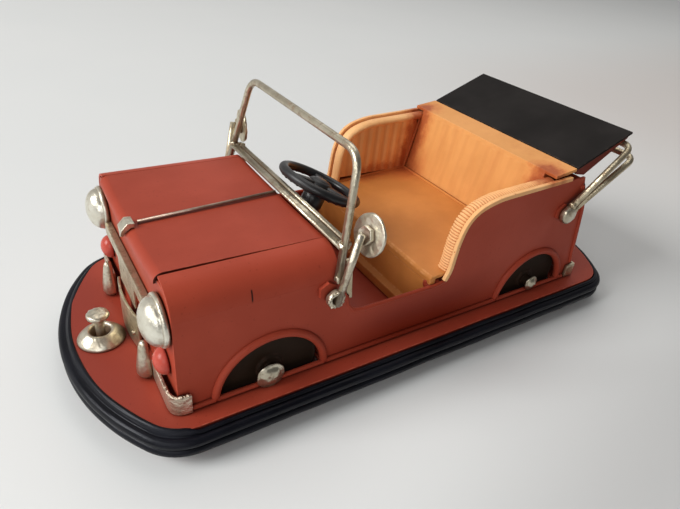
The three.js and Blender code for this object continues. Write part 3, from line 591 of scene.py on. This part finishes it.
# ---- Bright trim of the nose ----
# Grille bar and plate, corner bumpers and hood strip cut from tin and rod, plated dull silver and
# rubbed with brown, which stays in the corners and round the solder.
def metal(name, light, dark, brown, stained, gloss=0.33, reach=0.003, rough=0.00014):
    """Dull silver plate with brown rubbed into its dents and corners."""
    material, tree, skin = new_material(name)
    wear = worn(tree, 90.0, 0.0, reach)
    coords = put(tree, "TexCoord").outputs["Object"]
    blotch = put(tree, "TexNoise", Vector=coords, Scale=230.0, Detail=5.0, Roughness=0.72).outputs[0]
    stain_and_shade = between(tree, blotch, 0.50, 0.68, 0.0, stained)
    brown_share = calc(tree, "MAXIMUM", stain_and_shade, between(tree, wear["Recess"], 0.15, 0.65, 0.0, 0.95))
    colour = mixed(tree, wear["Cloud"], dark, light)
    join(tree, mixed(tree, brown_share, colour, brown), skin.inputs["Base Color"])
    join(tree, between(tree, brown_share, 0.0, 1.0, 0.95, 0.5), skin.inputs["Metallic"])
    join(tree, between(tree, brown_share, 0.0, 1.0, gloss, 0.62), skin.inputs["Roughness"])
    hammered = put(tree, "TexNoise", Vector=coords, Scale=420.0, Detail=2.0).outputs[0]
    height = calc(tree, "MULTIPLY_ADD", hammered, 5.0, calc(tree, "MULTIPLY_ADD", blotch, 3.0, wear["Grain"]))
    grain_bump(tree, height, skin, 0.4, rough)
    return material


antique_metal = metal("antique_metal", (0.72, 0.68, 0.56), (0.50, 0.45, 0.34), (0.22, 0.13, 0.065), 0.6)
brown_metal = metal("brown_metal", (0.67, 0.60, 0.44), (0.46, 0.39, 0.265), (0.20, 0.115, 0.055), 0.7, 0.38)
crusty_metal = metal(
    "crusty_metal", (0.80, 0.71, 0.58), (0.54, 0.45, 0.34), (0.24, 0.14, 0.075), 0.6, 0.4, rough=0.00035
)


finished("hood_ornament", antique_metal, 0.0003)
finished("grille_top_bar", brown_metal, 0.0003)
# the corner bumpers were cut roughly, and small lumps of solder are left along their upper edges
for label, side in both_sides:
    low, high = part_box("front_bumper_" + label)
    outer = max(abs(low.y), abs(high.y))
    work = merged_copy("front_bumper_" + label)
    round_folds(work, 0.0003)
    wrap = [Vector((high.x - 0.0009, outer - 0.0095, 0)), Vector((high.x - 0.001, outer - 0.004, 0))]
    wrap += [Vector((high.x - 0.0035, outer - 0.001, 0)), Vector((high.x - 0.0072, outer - 0.0009, 0))]
    edge = soft_bends(wrap, 0.0015, 3)
    lumps = []
    for number in range(15):
        at = number / 14 * (len(edge) - 1)
        spot = edge[int(at)].lerp(edge[min(int(at) + 1, len(edge) - 1)], at % 1)
        lumps.append(((spot.x, side * spot.y, high.z - 0.0003), 0.0006 + 0.0004 * noise.noise(spot * 900)))
    solder(work, lumps)
    name = "rough_bumper_" + label
    even_shading(piece(name, work, crusty_metal, "car_body", ["front_bumper_" + label]))

# the lower plate is fixed with one small rivet beside the left overrider
low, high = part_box("grille_lower_plate")
work = merged_copy("grille_lower_plate")
round_folds(work, 0.0003)
solder(work, [((high.x - 0.0012, 0.0125, low.z + 0.0082), 0.0013)])
even_shading(piece("riveted_plate", work, brown_metal, "car_body", ["grille_lower_plate"]))


def spun(profile, centre, axis, steps=56):
    """A turned shell: profile points are (radius, height along the axis)."""
    work = bmesh.new()
    line = [work.verts.new((radius, 0, height)) for radius, height in profile]
    edges = [work.edges.new(pair) for pair in zip(line, line[1:])]
    bmesh.ops.spin(
        work,
        geom=line + edges,
        cent=(0, 0, 0),
        axis=(0, 0, 1),
        angle=math.tau,
        steps=steps,
        use_merge=True,
    )
    bmesh.ops.remove_doubles(work, verts=work.verts, dist=1e-6)
    bmesh.ops.recalc_face_normals(work, faces=work.faces)
    tilt = Vector((0, 0, 1)).rotation_difference(Vector(axis)).to_matrix().to_4x4()
    bmesh.ops.transform(work, matrix=Matrix.Translation(centre) @ tilt, verts=work.verts)
    return work


def dented(work, amount, grain):
    """Leaves shallow hammer marks all over a shell."""
    for vert in work.verts:
        vert.co += noise.noise_vector(vert.co * grain) * amount
    return work


def dome(radius, base, rise, steps=9):
    """Profile of a shallow dome for spun, from its rim to its top."""
    return [
        (radius * math.cos(math.pi / 2 * i / steps), base + rise * math.sin(math.pi / 2 * i / steps))
        for i in range(steps)
    ] + [(0, base + rise)]


# ---- Lamps ----
# Blank pressed domes in rolled rims, plated like the trim, soldered to the nose plate.
# Under each is a small domed marker in glossy red paint.
# the brown patina reaches further here, so the lamp rims also take painted shade
lamp_metal = metal(
    "lamp_metal", (0.84, 0.82, 0.72), (0.66, 0.62, 0.50), (0.30, 0.20, 0.11), 0.35, 0.34, reach=0.006
)
marker_paint = paint(
    "marker_paint",
    light=(0.52, 0.085, 0.06),
    dark=(0.43, 0.068, 0.047),
    rubbed_and_highlight=(0.60, 0.17, 0.11),
    dirt_and_shade=(0.07, 0.014, 0.01),
    roughness=0.24,
)
for label, side in both_sides:
    low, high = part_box("headlamp_" + label)
    radius = (high.z - low.z) / 2
    centre = (low.x, (low.y + high.y) / 2, (low.z + high.z) / 2)
    deep = high.x - low.x
    profile = [(0, 0), (radius * 0.86, 0), (radius * 0.97, 0.0005), (radius, 0.0013)]
    profile += [(radius * 0.985, 0.0022), (radius * 0.945, 0.0027), (radius * 0.915, 0.0024)]
    profile += dome(radius * 0.905, 0.0026, deep - 0.0026, 12)
    work = spun(profile, centre, (1, 0, 0))
    solder(work, [(Vector(centre) + Vector((0.0004, side * 0.001, -radius - 0.0002)), 0.0014)])
    piece("headlamp_dome_" + label, work, lamp_metal, "car_body", ["headlamp_" + label])
    low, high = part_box("marker_light_" + label)
    radius = (high.z - low.z) / 2
    centre = (low.x, (low.y + high.y) / 2, (low.z + high.z) / 2)
    profile = [(0, 0), (radius * 0.93, 0)] + dome(radius, 0.0006, high.x - low.x - 0.0006, 10)
    work = spun(profile, centre, (1, 0, 0))
    piece("marker_dome_" + label, work, marker_paint, "car_body", ["marker_light_" + label])


# ---- Front post ----
# A turned mushroom post stands in a flared cup on the bare nose of the deck, both plated.
low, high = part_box("post_cup")
centre = ((low.x + high.x) / 2, 0, low.z)
profile = [(0.0031, 0.0), (0.0106, 0.0), (0.01075, 0.0004), (0.0104, 0.0011), (0.0092, 0.0025)]
profile += [(0.0077, 0.0039), (0.0066, 0.0047), (0.0059, 0.00505), (0.0053, 0.0050), (0.0047, 0.0045)]
profile += [(0.0043, 0.0034), (0.0037, 0.0016), (0.0031, 0.0007), (0.0031, 0.0)]
# the brown patina reaches further here, so the inside of the cup also takes painted shade
cup_metal = metal("cup_metal", (0.76, 0.72, 0.60), (0.56, 0.50, 0.38), (0.16, 0.09, 0.045), 0.45, 0.33, 0.006)
work = spun(profile, centre, (0, 0, 1), 64)
piece("flared_cup", work, cup_metal, "car_body", ["post_cup"])
profile = [(0, 0), (0.0027, 0), (0.0027, 0.001), (0.0021, 0.0018), (0.00195, 0.003), (0.00195, 0.0112)]
profile += [(0.0022, 0.0121), (0.0044, 0.01245), (0.00495, 0.0130), (0.005, 0.0137), (0.0047, 0.0145)]
profile += [(0.0038, 0.0149), (0.0022, 0.01505), (0, 0.0151)]
work = dented(spun(profile, centre, (0, 0, 1), 48), 0.0003, 600)
piece("mushroom_post", work, cup_metal, "car_body", ["front_post"])


# ---- Overriders ----
# Two cone-shaped uprights of solid metal, plated like the trim and soldered to the grille plate
# beside the corner bumpers.
for label, side in both_sides:
    work = merged_copy("overrider_" + label)
    piece("overrider_cone_" + label, work, antique_metal, "car_body", ["overrider_" + label])


# ---- Hood strip ----
# A thin rod that lies along the middle of the hood and follows its sag. Its plating is worn
# down to brown.
low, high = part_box("hood_strip")
strip_radius = 0.0008
strip_metal = metal("strip_metal", (0.46, 0.36, 0.29), (0.32, 0.24, 0.19), (0.20, 0.08, 0.05), 0.6, 0.45)
work = bar([(low.x, 0, high.z - strip_radius), (high.x, 0, low.z + strip_radius)], strip_radius)
piece("hood_strip_rod", work, strip_metal, "car_body", ["hood_strip"])


# ---- Windscreen ----
# One rod bent into a hoop, its feet soldered to a lug on each side, with a thick and a thin bar
# across the cowl, tied at their ends with solder. Plated like the trim, browner at the feet.
deck_top, hood_top = deck_high.z, hood_high.z
rod_radius = 0.0018
foot = Vector((cowl + 0.0015, 0.0621, deck_top + 0.048))
head = Vector((cowl - 0.0089, 0.0523, deck_top + 0.1006))
flip = Vector((1, -1, 1))
hoop = bar([foot, head, head * flip, foot * flip], rod_radius, 20, 0.009)
level_share = (hood_top + 0.002 - foot.z) / (head.z - foot.z)
sill_x, sill_y = foot.lerp(head, level_share).xy
front_sill = bar([(sill_x + 0.0004, -sill_y, 0), (sill_x + 0.0004, sill_y, 0)], 0.0021, 20)
bmesh.ops.scale(front_sill, vec=(1, 1, 0.6), verts=front_sill.verts)
rear_x, rear_y, sill_middle = sill_x - 0.0034, sill_y - 0.001, hood_top + 0.0018
bmesh.ops.translate(front_sill, vec=(0, 0, sill_middle), verts=front_sill.verts)
rear_sill = bar([(rear_x, -rear_y, sill_middle), (rear_x, rear_y, sill_middle)], 0.0013)
work = joined(hoop, front_sill, rear_sill)
lumps = []
for side in (NEAR, FAR):
    for back, along, rise, size in (
        (0.0005, 0.0005, 0.0022, 0.0019), (0.0, 0.0028, 0.0016, 0.0018), (-0.0022, 0.0015, 0.0015, 0.0017),
        (-0.0038, 0.0035, 0.0018, 0.0015), (-0.0020, 0.0042, 0.0012, 0.0014),
    ):
        lumps.append(((sill_x + back, side * (sill_y - along), hood_top + rise), size))
    lumps.append((foot * Vector((1, side, 1)) + Vector((0, 0, 0.001)), 0.0019))
solder(work, lumps)
hoop_metal = metal("hoop_metal", (0.64, 0.59, 0.46), (0.43, 0.38, 0.28), (0.20, 0.11, 0.055), 0.65)
piece("windscreen_hoop", work, hoop_metal, "car_body", ["windscreen_frame"])
for node in ("windscreen_stay_left", "windscreen_stay_right"):
    finished(node, brown_metal, 0.0002, 50)


# ---- Mirrors ----
# A hammered disc cut from tin with a hex nut in front of it, on a leaning rod. The rod's foot is
# soldered into a hollow boss on the body side.
disc_half = 0.0007
for label, side in both_sides:
    plate = cup_metal if side == NEAR else brown_metal
    facing = Vector((0.97, 0.09, 0.23) if side == NEAR else (0.99, -0.12, 0)).normalized()
    place = Vector((cowl - 0.009, side * 0.0658, deck_top + 0.0703))
    rings = [0.002, 0.004, 0.0055, 0.007, 0.0085]
    profile = [(0, -disc_half)] + [(radius, -disc_half) for radius in rings]
    profile += [(0.0091, -0.0006), (0.0093, 0), (0.0091, 0.0006)]
    profile += [(radius, disc_half) for radius in reversed(rings)] + [(0, disc_half)]
    disc = dented(spun(profile, place, facing, 64), 0.00028, 420)
    nut = bmesh.new()
    bmesh.ops.create_cone(nut, cap_ends=True, segments=6, radius1=0.0043, radius2=0.0043, depth=0.0028)
    crown = [face for face in nut.faces if face.normal.z > 0.9]
    bmesh.ops.inset_region(nut, faces=crown, thickness=0.0019, use_even_offset=True)
    bmesh.ops.translate(nut, vec=(0, 0, -0.0016), verts=list({v for face in crown for v in face.verts}))
    round_folds(nut, 0.0004, 40)
    lean = Vector((0, 0, 1)).rotation_difference(facing).to_matrix().to_4x4()
    bmesh.ops.transform(nut, matrix=Matrix.Translation(place + facing * 0.002) @ lean, verts=nut.verts)
    work = joined(disc, nut)
    piece("mirror_disc_" + label, work, plate, "car_body", ["mirror_" + label])

    boss = Vector((cowl + 0.0034, side * 0.0627, deck_top + 0.0404))
    profile = [(0.0022, 0), (0.0039, 0), (0.0042, 0.0004), (0.0042, 0.0025), (0.0038, 0.003)]
    profile += [(0.0027, 0.0031), (0.0022, 0.0027), (0.0022, 0.0002), (0, 0.0002)]
    work = dented(spun(profile, boss, (0, side, 0), 40), 0.0003, 500)
    low_end = boss + Vector((-0.0006, side * 0.0022, -0.0032))
    high_end = place + Vector((0.0048, side * 0.001, 0.002))
    work = joined(work, bar([low_end, high_end], 0.0017, 20))
    ring_lumps = []
    for turn in range(16):
        angle = turn * 0.41
        around = Vector((math.cos(angle) * 0.0036, side * 0.0026, math.sin(angle) * 0.0036))
        ring_lumps.append((boss + around, 0.0007 + 0.0002 * math.sin(turn * 2.1)))
    solder(work, ring_lumps)
    piece("mirror_rod_" + label, work, plate, "car_body", ["mirror_arm_" + label])


# ---- Steering ----
# Moulded wheel of half-gloss black plastic on a column of the same from the dash.
black_plastic, tree, skin = new_material("black_plastic")
wear = worn(tree, 60.0, 0.2, 0.003)
colour = mixed(tree, wear["Cloud"], (0.008, 0.008, 0.009), (0.018, 0.018, 0.019))
# the folds go lighter: worn plastic, and a painted highlight on the edges
rubbed_and_highlight = calc(tree, "MULTIPLY", wear["Rubbed Highlight"], 0.4)
join(tree, mixed(tree, rubbed_and_highlight, colour, (0.05, 0.05, 0.05)), skin.inputs["Base Color"])
join(tree, between(tree, wear["Cloud"], 0.0, 1.0, 0.3, 0.45), skin.inputs["Roughness"])
grain_bump(tree, wear["Grain"], skin, 0.2, 0.0001)
# the column is thin at the dash and has a thick collar under the wheel
turn_joint = next(j for j in frame["record"]["behaviour"]["joints"] if j["child"] == "steering_wheel")
hub, turn_axis = Vector(turn_joint["pos_m"]), Vector(turn_joint["axis"])
low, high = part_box("steering_column")
reach = (high.x - hub.x) / -turn_axis.x
profile = [(0, -reach), (0.0024, -reach), (0.0026, -0.0135), (0.0056, -0.0125), (0.0060, -0.0115)]
profile += [(0.0060, -0.0056), (0.0056, -0.0051), (0, -0.0051)]
work = spun(profile, hub, turn_axis, 40)
piece("thick_column", work, black_plastic, "car_body", ["steering_column"])
rim_ring = bead(0.0205, 0, 0.0024, 0, 360, 20)
work = spun(rim_ring, (0, 0, 0), (0, 0, 1), 72)
boss_profile = [(0, -0.0044), (0.0068, -0.0044), (0.0072, -0.0036), (0.0062, 0.0012), (0.0052, 0.002)]
work = joined(work, spun(boss_profile + dome(0.0046, 0.0019, 0.001, 5), (0, 0, 0), (0, 0, 1), 40))
for number in range(3):
    arm = bmesh.new()
    bmesh.ops.create_cube(arm, size=1)
    bmesh.ops.scale(arm, vec=(0.017, 0.0052, 0.0022), verts=arm.verts)
    for vert in arm.verts:
        vert.co.y *= 0.75 if vert.co.x > 0 else 1.15
        vert.co.x += 0.0115
    bmesh.ops.rotate(arm, matrix=Matrix.Rotation(-number * math.tau / 3, 3, "Z"), verts=arm.verts)
    round_folds(arm, 0.0006, 40)
    work = joined(work, arm)
# finger grips stand in a ring under the rim
grip_count, grip_ring = 30, 0.0207
for number in range(grip_count):
    angle = number * math.tau / grip_count
    grip = bmesh.new()
    bmesh.ops.create_icosphere(grip, subdivisions=2, radius=0.0011)
    place = (grip_ring * math.cos(angle), grip_ring * math.sin(angle), -0.0016)
    bmesh.ops.translate(grip, vec=place, verts=grip.verts)
    work = joined(work, grip)
lean = Vector((0, 0, 1)).rotation_difference(turn_axis).to_matrix().to_4x4()
bmesh.ops.transform(work, matrix=Matrix.Translation(hub) @ lean, verts=work.verts)
piece("moulded_wheel", work, black_plastic, "steering_wheel", ["steering_wheel"])


# ---- Bench seat ----
# Bent tin painted tan, darkened red-brown into every corner as painted shade: cushion, base, back,
# and two sides with soft upright flutes whose valleys are painted darker. A light flat edging and a
# roll finish the tops of the sides, and the roll is ribbed on the left and smooth on the right.
def tan(name, light, dark, flutes=None, grooved=False, reach=0.0045, specks=0.1):
    """Tan paint darkened red-brown toward the back corners, recesses and grooves as painted shade. flutes is
    (axis, pitch, depth).
    """
    material, tree, skin = new_material(name)
    wear = worn(tree, 26.0, specks, reach)
    coords = put(tree, "TexCoord").outputs["Object"]
    split = put(tree, "SeparateXYZ", Vector=coords).outputs
    streak_map = put(tree, "Mapping", Vector=coords, Scale=(1.0, 1.0, 0.12)).outputs[0]
    streak = put(tree, "TexNoise", Vector=streak_map, Scale=150.0, Detail=3.0, Roughness=0.6).outputs[0]
    colour = mixed(tree, wear["Cloud"], dark, light)
    colour = mixed(tree, between(tree, streak, 0.46, 0.75, 0.0, 0.2), colour, (0.56, 0.19, 0.06))
    height = wear["Grain"]
    if flutes:
        axis, pitch, depth = flutes
        bent = calc(tree, "MULTIPLY_ADD", streak, 0.002, split[axis])
        wave = calc(tree, "SINE", calc(tree, "MULTIPLY", bent, math.tau / pitch))
        wave = calc(tree, "MULTIPLY", wave, between(tree, split[2], 0.0885, 0.0895, 1.0, 0.0))
        # painted shade: the flute valleys are darker
        colour = mixed(tree, between(tree, wave, 0.0, 1.0, 0.0, 0.08 * depth), colour, (0.42, 0.11, 0.03))
        height = calc(tree, "MULTIPLY_ADD", wave, -2.5 * depth, height)
    colour = mixed(tree, calc(tree, "MULTIPLY", wear["Rubbed Highlight"], 0.25), colour, (0.88, 0.48, 0.22))
    # painted shade spreads from the lines where back, sides and cushion meet
    aside = calc(tree, "SUBTRACT", calc(tree, "ABSOLUTE", split[1]), 0.0525)
    above = calc(tree, "SUBTRACT", split[2], 0.0505)
    behind = calc(tree, "MULTIPLY_ADD", above, 0.22, calc(tree, "ADD", split[0], 0.0661))
    rough_edge = put(tree, "TexNoise", Vector=coords, Scale=170.0, Detail=4.0, Roughness=0.65).outputs[0]
    stain_and_shade = 0.0
    aside_squared = calc(tree, "MULTIPLY", aside, aside)
    upright = calc(tree, "MULTIPLY_ADD", behind, behind, aside_squared)
    lying = calc(tree, "MULTIPLY_ADD", above, above, aside_squared)
    low_corner = calc(tree, "MULTIPLY_ADD", above, above, upright)
    for squared, widest, most in ((upright, 0.0225, 0.92), (lying, 0.0175, 0.75), (low_corner, 0.034, 0.92)):
        ragged = calc(tree, "MULTIPLY_ADD", rough_edge, 0.014, calc(tree, "SQRT", squared))
        seam_shade = between(tree, ragged, 0.0105, widest, most, 0.0)
        seam_shade = calc(tree, "MULTIPLY", seam_shade, between(tree, split[0], -0.035, -0.012, 1.0, 0.0))
        stain_and_shade = calc(tree, "MAXIMUM", stain_and_shade, seam_shade)
    # painted shade in recesses, from the ambient occlusion mask
    stain_and_shade = calc(tree, "MAXIMUM", stain_and_shade, between(tree, wear["Recess"], 0.35, 0.9, 0.0, 0.9))
    # painted shade in the grooves between the turns of the roll
    if grooved:
        groove = put(tree, "Attribute", {"attribute_name": "groove"}).outputs["Fac"]
        stain_and_shade = calc(tree, "MAXIMUM", stain_and_shade, calc(tree, "MULTIPLY", groove, 0.85))
    corner_shade_tone = mixed(tree, calc(tree, "MULTIPLY", stain_and_shade, stain_and_shade), (0.60, 0.155, 0.042), (0.33, 0.060, 0.018))
    colour = mixed(tree, calc(tree, "MAXIMUM", stain_and_shade, wear["Speck"]), colour, corner_shade_tone)
    join(tree, colour, skin.inputs["Base Color"])
    join(tree, between(tree, wear["Cloud"], 0.0, 1.0, 0.5, 0.4), skin.inputs["Roughness"])
    skin.inputs["Specular IOR Level"].default_value = 0.2
    grain_bump(tree, height, skin, 0.3, 0.00016)
    return material


# the cushion's tan is darker than the back's, as painted shade inside the seat, and the sides' tan is lighter
# and paler, as painted light on the upright walls
cushion_tan = tan("cushion_tan", (0.64, 0.245, 0.060), (0.52, 0.19, 0.045))
back_tan = tan("back_tan", (0.78, 0.36, 0.115), (0.68, 0.30, 0.09), (1, 0.009, 1.2))
side_tan = tan("side_tan", (0.90, 0.47, 0.19), (0.77, 0.38, 0.14), (0, 0.0066, 3.4))
edge_tan = tan("edge_tan", (0.95, 0.55, 0.25), (0.84, 0.43, 0.17), None, False, 0.0018, 0.9)
finished("seat_base", cushion_tan, 0.0006)
finished("seat_back", back_tan, 0.0006)
for node in ("seat_side_left", "seat_side_right"):
    finished(node, side_tan, 0.0005)
for node in ("seat_edging_left", "seat_edging_right"):
    finished(node, edge_tan, 0.0003, 60)

# the seams where cushion, back and sides meet are filled with a thick line of paint
low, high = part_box("seat_cushion")
work = merged_copy("seat_cushion")
round_folds(work, 0.0006)
back_x, back_z, wall_y, seam_radius = low.x + 0.0112, high.z + 0.0002, 0.0522, 0.0009
work = joined(work, bar([(back_x, -wall_y, back_z), (back_x, wall_y, back_z)], seam_radius, 12))
for side in (NEAR, FAR):
    corner = Vector((back_x, side * wall_y, back_z))
    work = joined(work, bar([corner, (high.x - 0.012, side * wall_y, high.z - 0.0026)], seam_radius, 12))
    work = joined(work, bar([corner, (back_x - 0.0082, side * wall_y, 0.0884)], seam_radius, 12))
even_shading(piece("filled_cushion", work, cushion_tan, "car_body", ["seat_cushion"]))


def smooth_line(points, count):
    """Even points on a soft line through the given ones."""
    line = []
    for i in range(count + 1):
        at = i / count * (len(points) - 1)
        first = min(int(at), len(points) - 2)
        t = at - first
        p0, p1 = points[max(first - 1, 0)], points[first]
        p2, p3 = points[first + 1], points[min(first + 2, len(points) - 1)]
        bend = (3 * p1 - p0 - 3 * p2 + p3) * t**3 + (2 * p0 - 5 * p1 + 4 * p2 - p3) * t**2
        line.append(0.5 * (bend + (p2 - p0) * t + 2 * p1))
    return line


# the roll follows the rise of the seat side as a close-wound cord with about 1.5 mm between turns
low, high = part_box("seat_piping_left")
front_x, sill_z, rise, turn_pitch = high.x + 0.0001, deck_top + 0.025, 0.0446, 0.0015
side_line = [
    Vector((front_x - back, 0, sill_z + share * rise))
    for back, share in (
        (0.0, 0.029), (0.0024, 0.166), (0.0033, 0.363), (0.0045, 0.556), (0.0075, 0.74), (0.0135, 0.859),
        (0.0246, 0.93), (0.039, 0.951), (0.0894, 1.0),
    )
]
line = smooth_line(side_line, 900)
roll_path = [spot for spot in line if spot.x > low.x - 0.007 and spot.z > sill_z + 0.0035]
turns = [0.0]
for before, after in zip(roll_path, roll_path[1:]):
    turns.append(turns[-1] + (after - before).length / turn_pitch)


def cord(i):
    """Relative thickness of the wound roll at a point of its path."""
    return 0.74 + 0.26 * abs(math.sin(math.pi * turns[i])) ** 0.6 + 0.02 * math.sin(turns[i] * 1.7)


roll_tan = tan("roll_tan", (0.94, 0.54, 0.245), (0.83, 0.43, 0.17), None, True, 0.0022, 0.5)
for label, side in both_sides:
    path = [spot + Vector((0, 0, -0.0003)) for spot in roll_path]
    path_tree = kdtree.KDTree(len(path))
    for number, spot in enumerate(path):
        path_tree.insert(spot, number)
    path_tree.balance()
    work = bar(path, 0.0023, 20, 0.0, cord if side == NEAR else None)
    # groove marks where the roll is painted darker, as painted shade between the turns
    grooves = work.verts.layers.float.new("groove")
    for vert in work.verts:
        nearest = path_tree.find(vert.co)[1]
        vert[grooves] = 1 - min(1.0, abs(math.sin(math.pi * turns[nearest])) * 1.6) if side == NEAR else 0.0
    bmesh.ops.scale(work, vec=(1, 1.65, 1), verts=work.verts)
    bmesh.ops.translate(work, vec=(0, side * ((low.y + high.y) / 2 - 0.0013), 0), verts=work.verts)
    piece("seat_roll_" + label, work, roll_tan, "car_body", ["seat_piping_" + label])


# ---- Tail brackets ----
# Folded tin corners, browned, soldered where the body sides meet the tail plate.
for node in ("rear_bracket_left", "rear_bracket_right"):
    finished(node, brown_metal, 0.0003)


# ---- Folded top ----
# A flat tin panel in matt black over a shallow red tray, whose red is darkened as painted shade under
# the panel. Two rod hoops hang on a bolt through each body side and carry it, and swing with it.
black_paint = paint(
    "black_paint",
    light=(0.015, 0.0125, 0.0115),
    dark=(0.010, 0.0085, 0.008),
    rubbed_and_highlight=(0.05, 0.036, 0.03),
    dirt_and_shade=(0.005, 0.004, 0.004),
    roughness=0.68,
    specks=0.15,
    shine=0.12,
)
# painted shade: the body red darkened for the tray under the top
tray_red = paint(
    "tray_red",
    light=(0.22, 0.030, 0.018),
    dark=(0.15, 0.022, 0.013),
    rubbed_and_highlight=(0.36, 0.08, 0.05),
    dirt_and_shade=(0.03, 0.007, 0.005),
    roughness=0.5,
    specks=0.3,
)
finished("top_cover", black_paint, 0.0004)
finished("top_tray", tray_red, 0.0004)

top_joint = next(j for j in frame["record"]["behaviour"]["joints"] if j["child"] == "folded_top")
pivot = Vector(top_joint["pos_m"])
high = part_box("top_bow_upper")[1]
bow_y = high.y - rod_radius
hoops = (
    ("upper", (-0.0014, 0.0054), (-0.038, 0.0348)),
    ("lower", (-0.0042, 0.0031), (-0.0445, 0.0274)),
)
for name, start, end in hoops:
    first = pivot + Vector((start[0], bow_y, start[1]))
    corner = pivot + Vector((end[0], bow_y, end[1]))
    work = bar([first, corner, corner * flip, first * flip], rod_radius, 20, 0.006)
    solder(work, [(first * Vector((1, side, 1)), 0.0021) for side in (NEAR, FAR)])
    piece("rod_hoop_" + name, work, brown_metal, "folded_top", ["top_bow_" + name])

for label, side in both_sides:
    profile = [(0, -0.004), (0.002, -0.004), (0.002, 0.0), (0.0048, 0.0002), (0.0052, 0.0009)]
    profile += [(0.0052, 0.0027), (0.0048, 0.0034), (0.004, 0.0039), (0.002, 0.0043), (0, 0.0044)]
    place = pivot + Vector((0, side * 0.0614, 0))
    work = dented(spun(profile, place, (0, side, 0), 40), 0.00035, 480)
    piece("bolt_head_" + label, work, antique_metal, "folded_top", ["top_bolt_" + label])


# ---- Running gear ----
# Four matt black wheels turn on two plated axles. The axles' hammered domed ends stand outside the
# body, and tin bearers under the deck hold them.
wheel_black = paint(
    "wheel_black",
    light=(0.030, 0.016, 0.009),
    dark=(0.020, 0.011, 0.006),
    rubbed_and_highlight=(0.06, 0.03, 0.02),
    dirt_and_shade=(0.015, 0.007, 0.004),
    roughness=0.6,
    shine=0.15,
)
for end in ("front", "rear"):
    low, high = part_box(end + "_axle")
    middle = (low + high) / 2
    for label, side in both_sides:
        wheel = f"wheel_{end}_{label}"
        work = merged_copy(wheel)
        round_folds(work, 0.0005)
        even_shading(piece(f"wheel_turned_{end}_{label}", work, wheel_black, wheel, [wheel]))
    wide, ahead = (1.22, 0.002) if end == "front" else (0.84, 0.0)
    tip = [(0.0019, 0.0622), (0.0051, 0.0622), (0.0055, 0.0627), (0.0052, 0.0632), (0.0042, 0.0631)]
    tip += [(0.0037, 0.0636), (0.0030, 0.0643), (0.0016, 0.0647), (0, 0.0648)]
    tip = [(radius * wide, out) for radius, out in tip]
    half_axle = Vector((0, 0.0623, 0))
    work = bar([middle - half_axle, middle + half_axle], 0.00195, 20)
    for side in (NEAR, FAR):
        spot = middle + Vector((ahead, 0, 0))
        work = joined(work, dented(spun([(0, 0.0622)] + tip, spot, (0, side, 0), 36), 0.00045, 480))
    piece(end + "_axle_rod", work, antique_metal, "car_body", [end + "_axle"])
    finished(end + "_axle_bearer", red_paint, 0.0003)
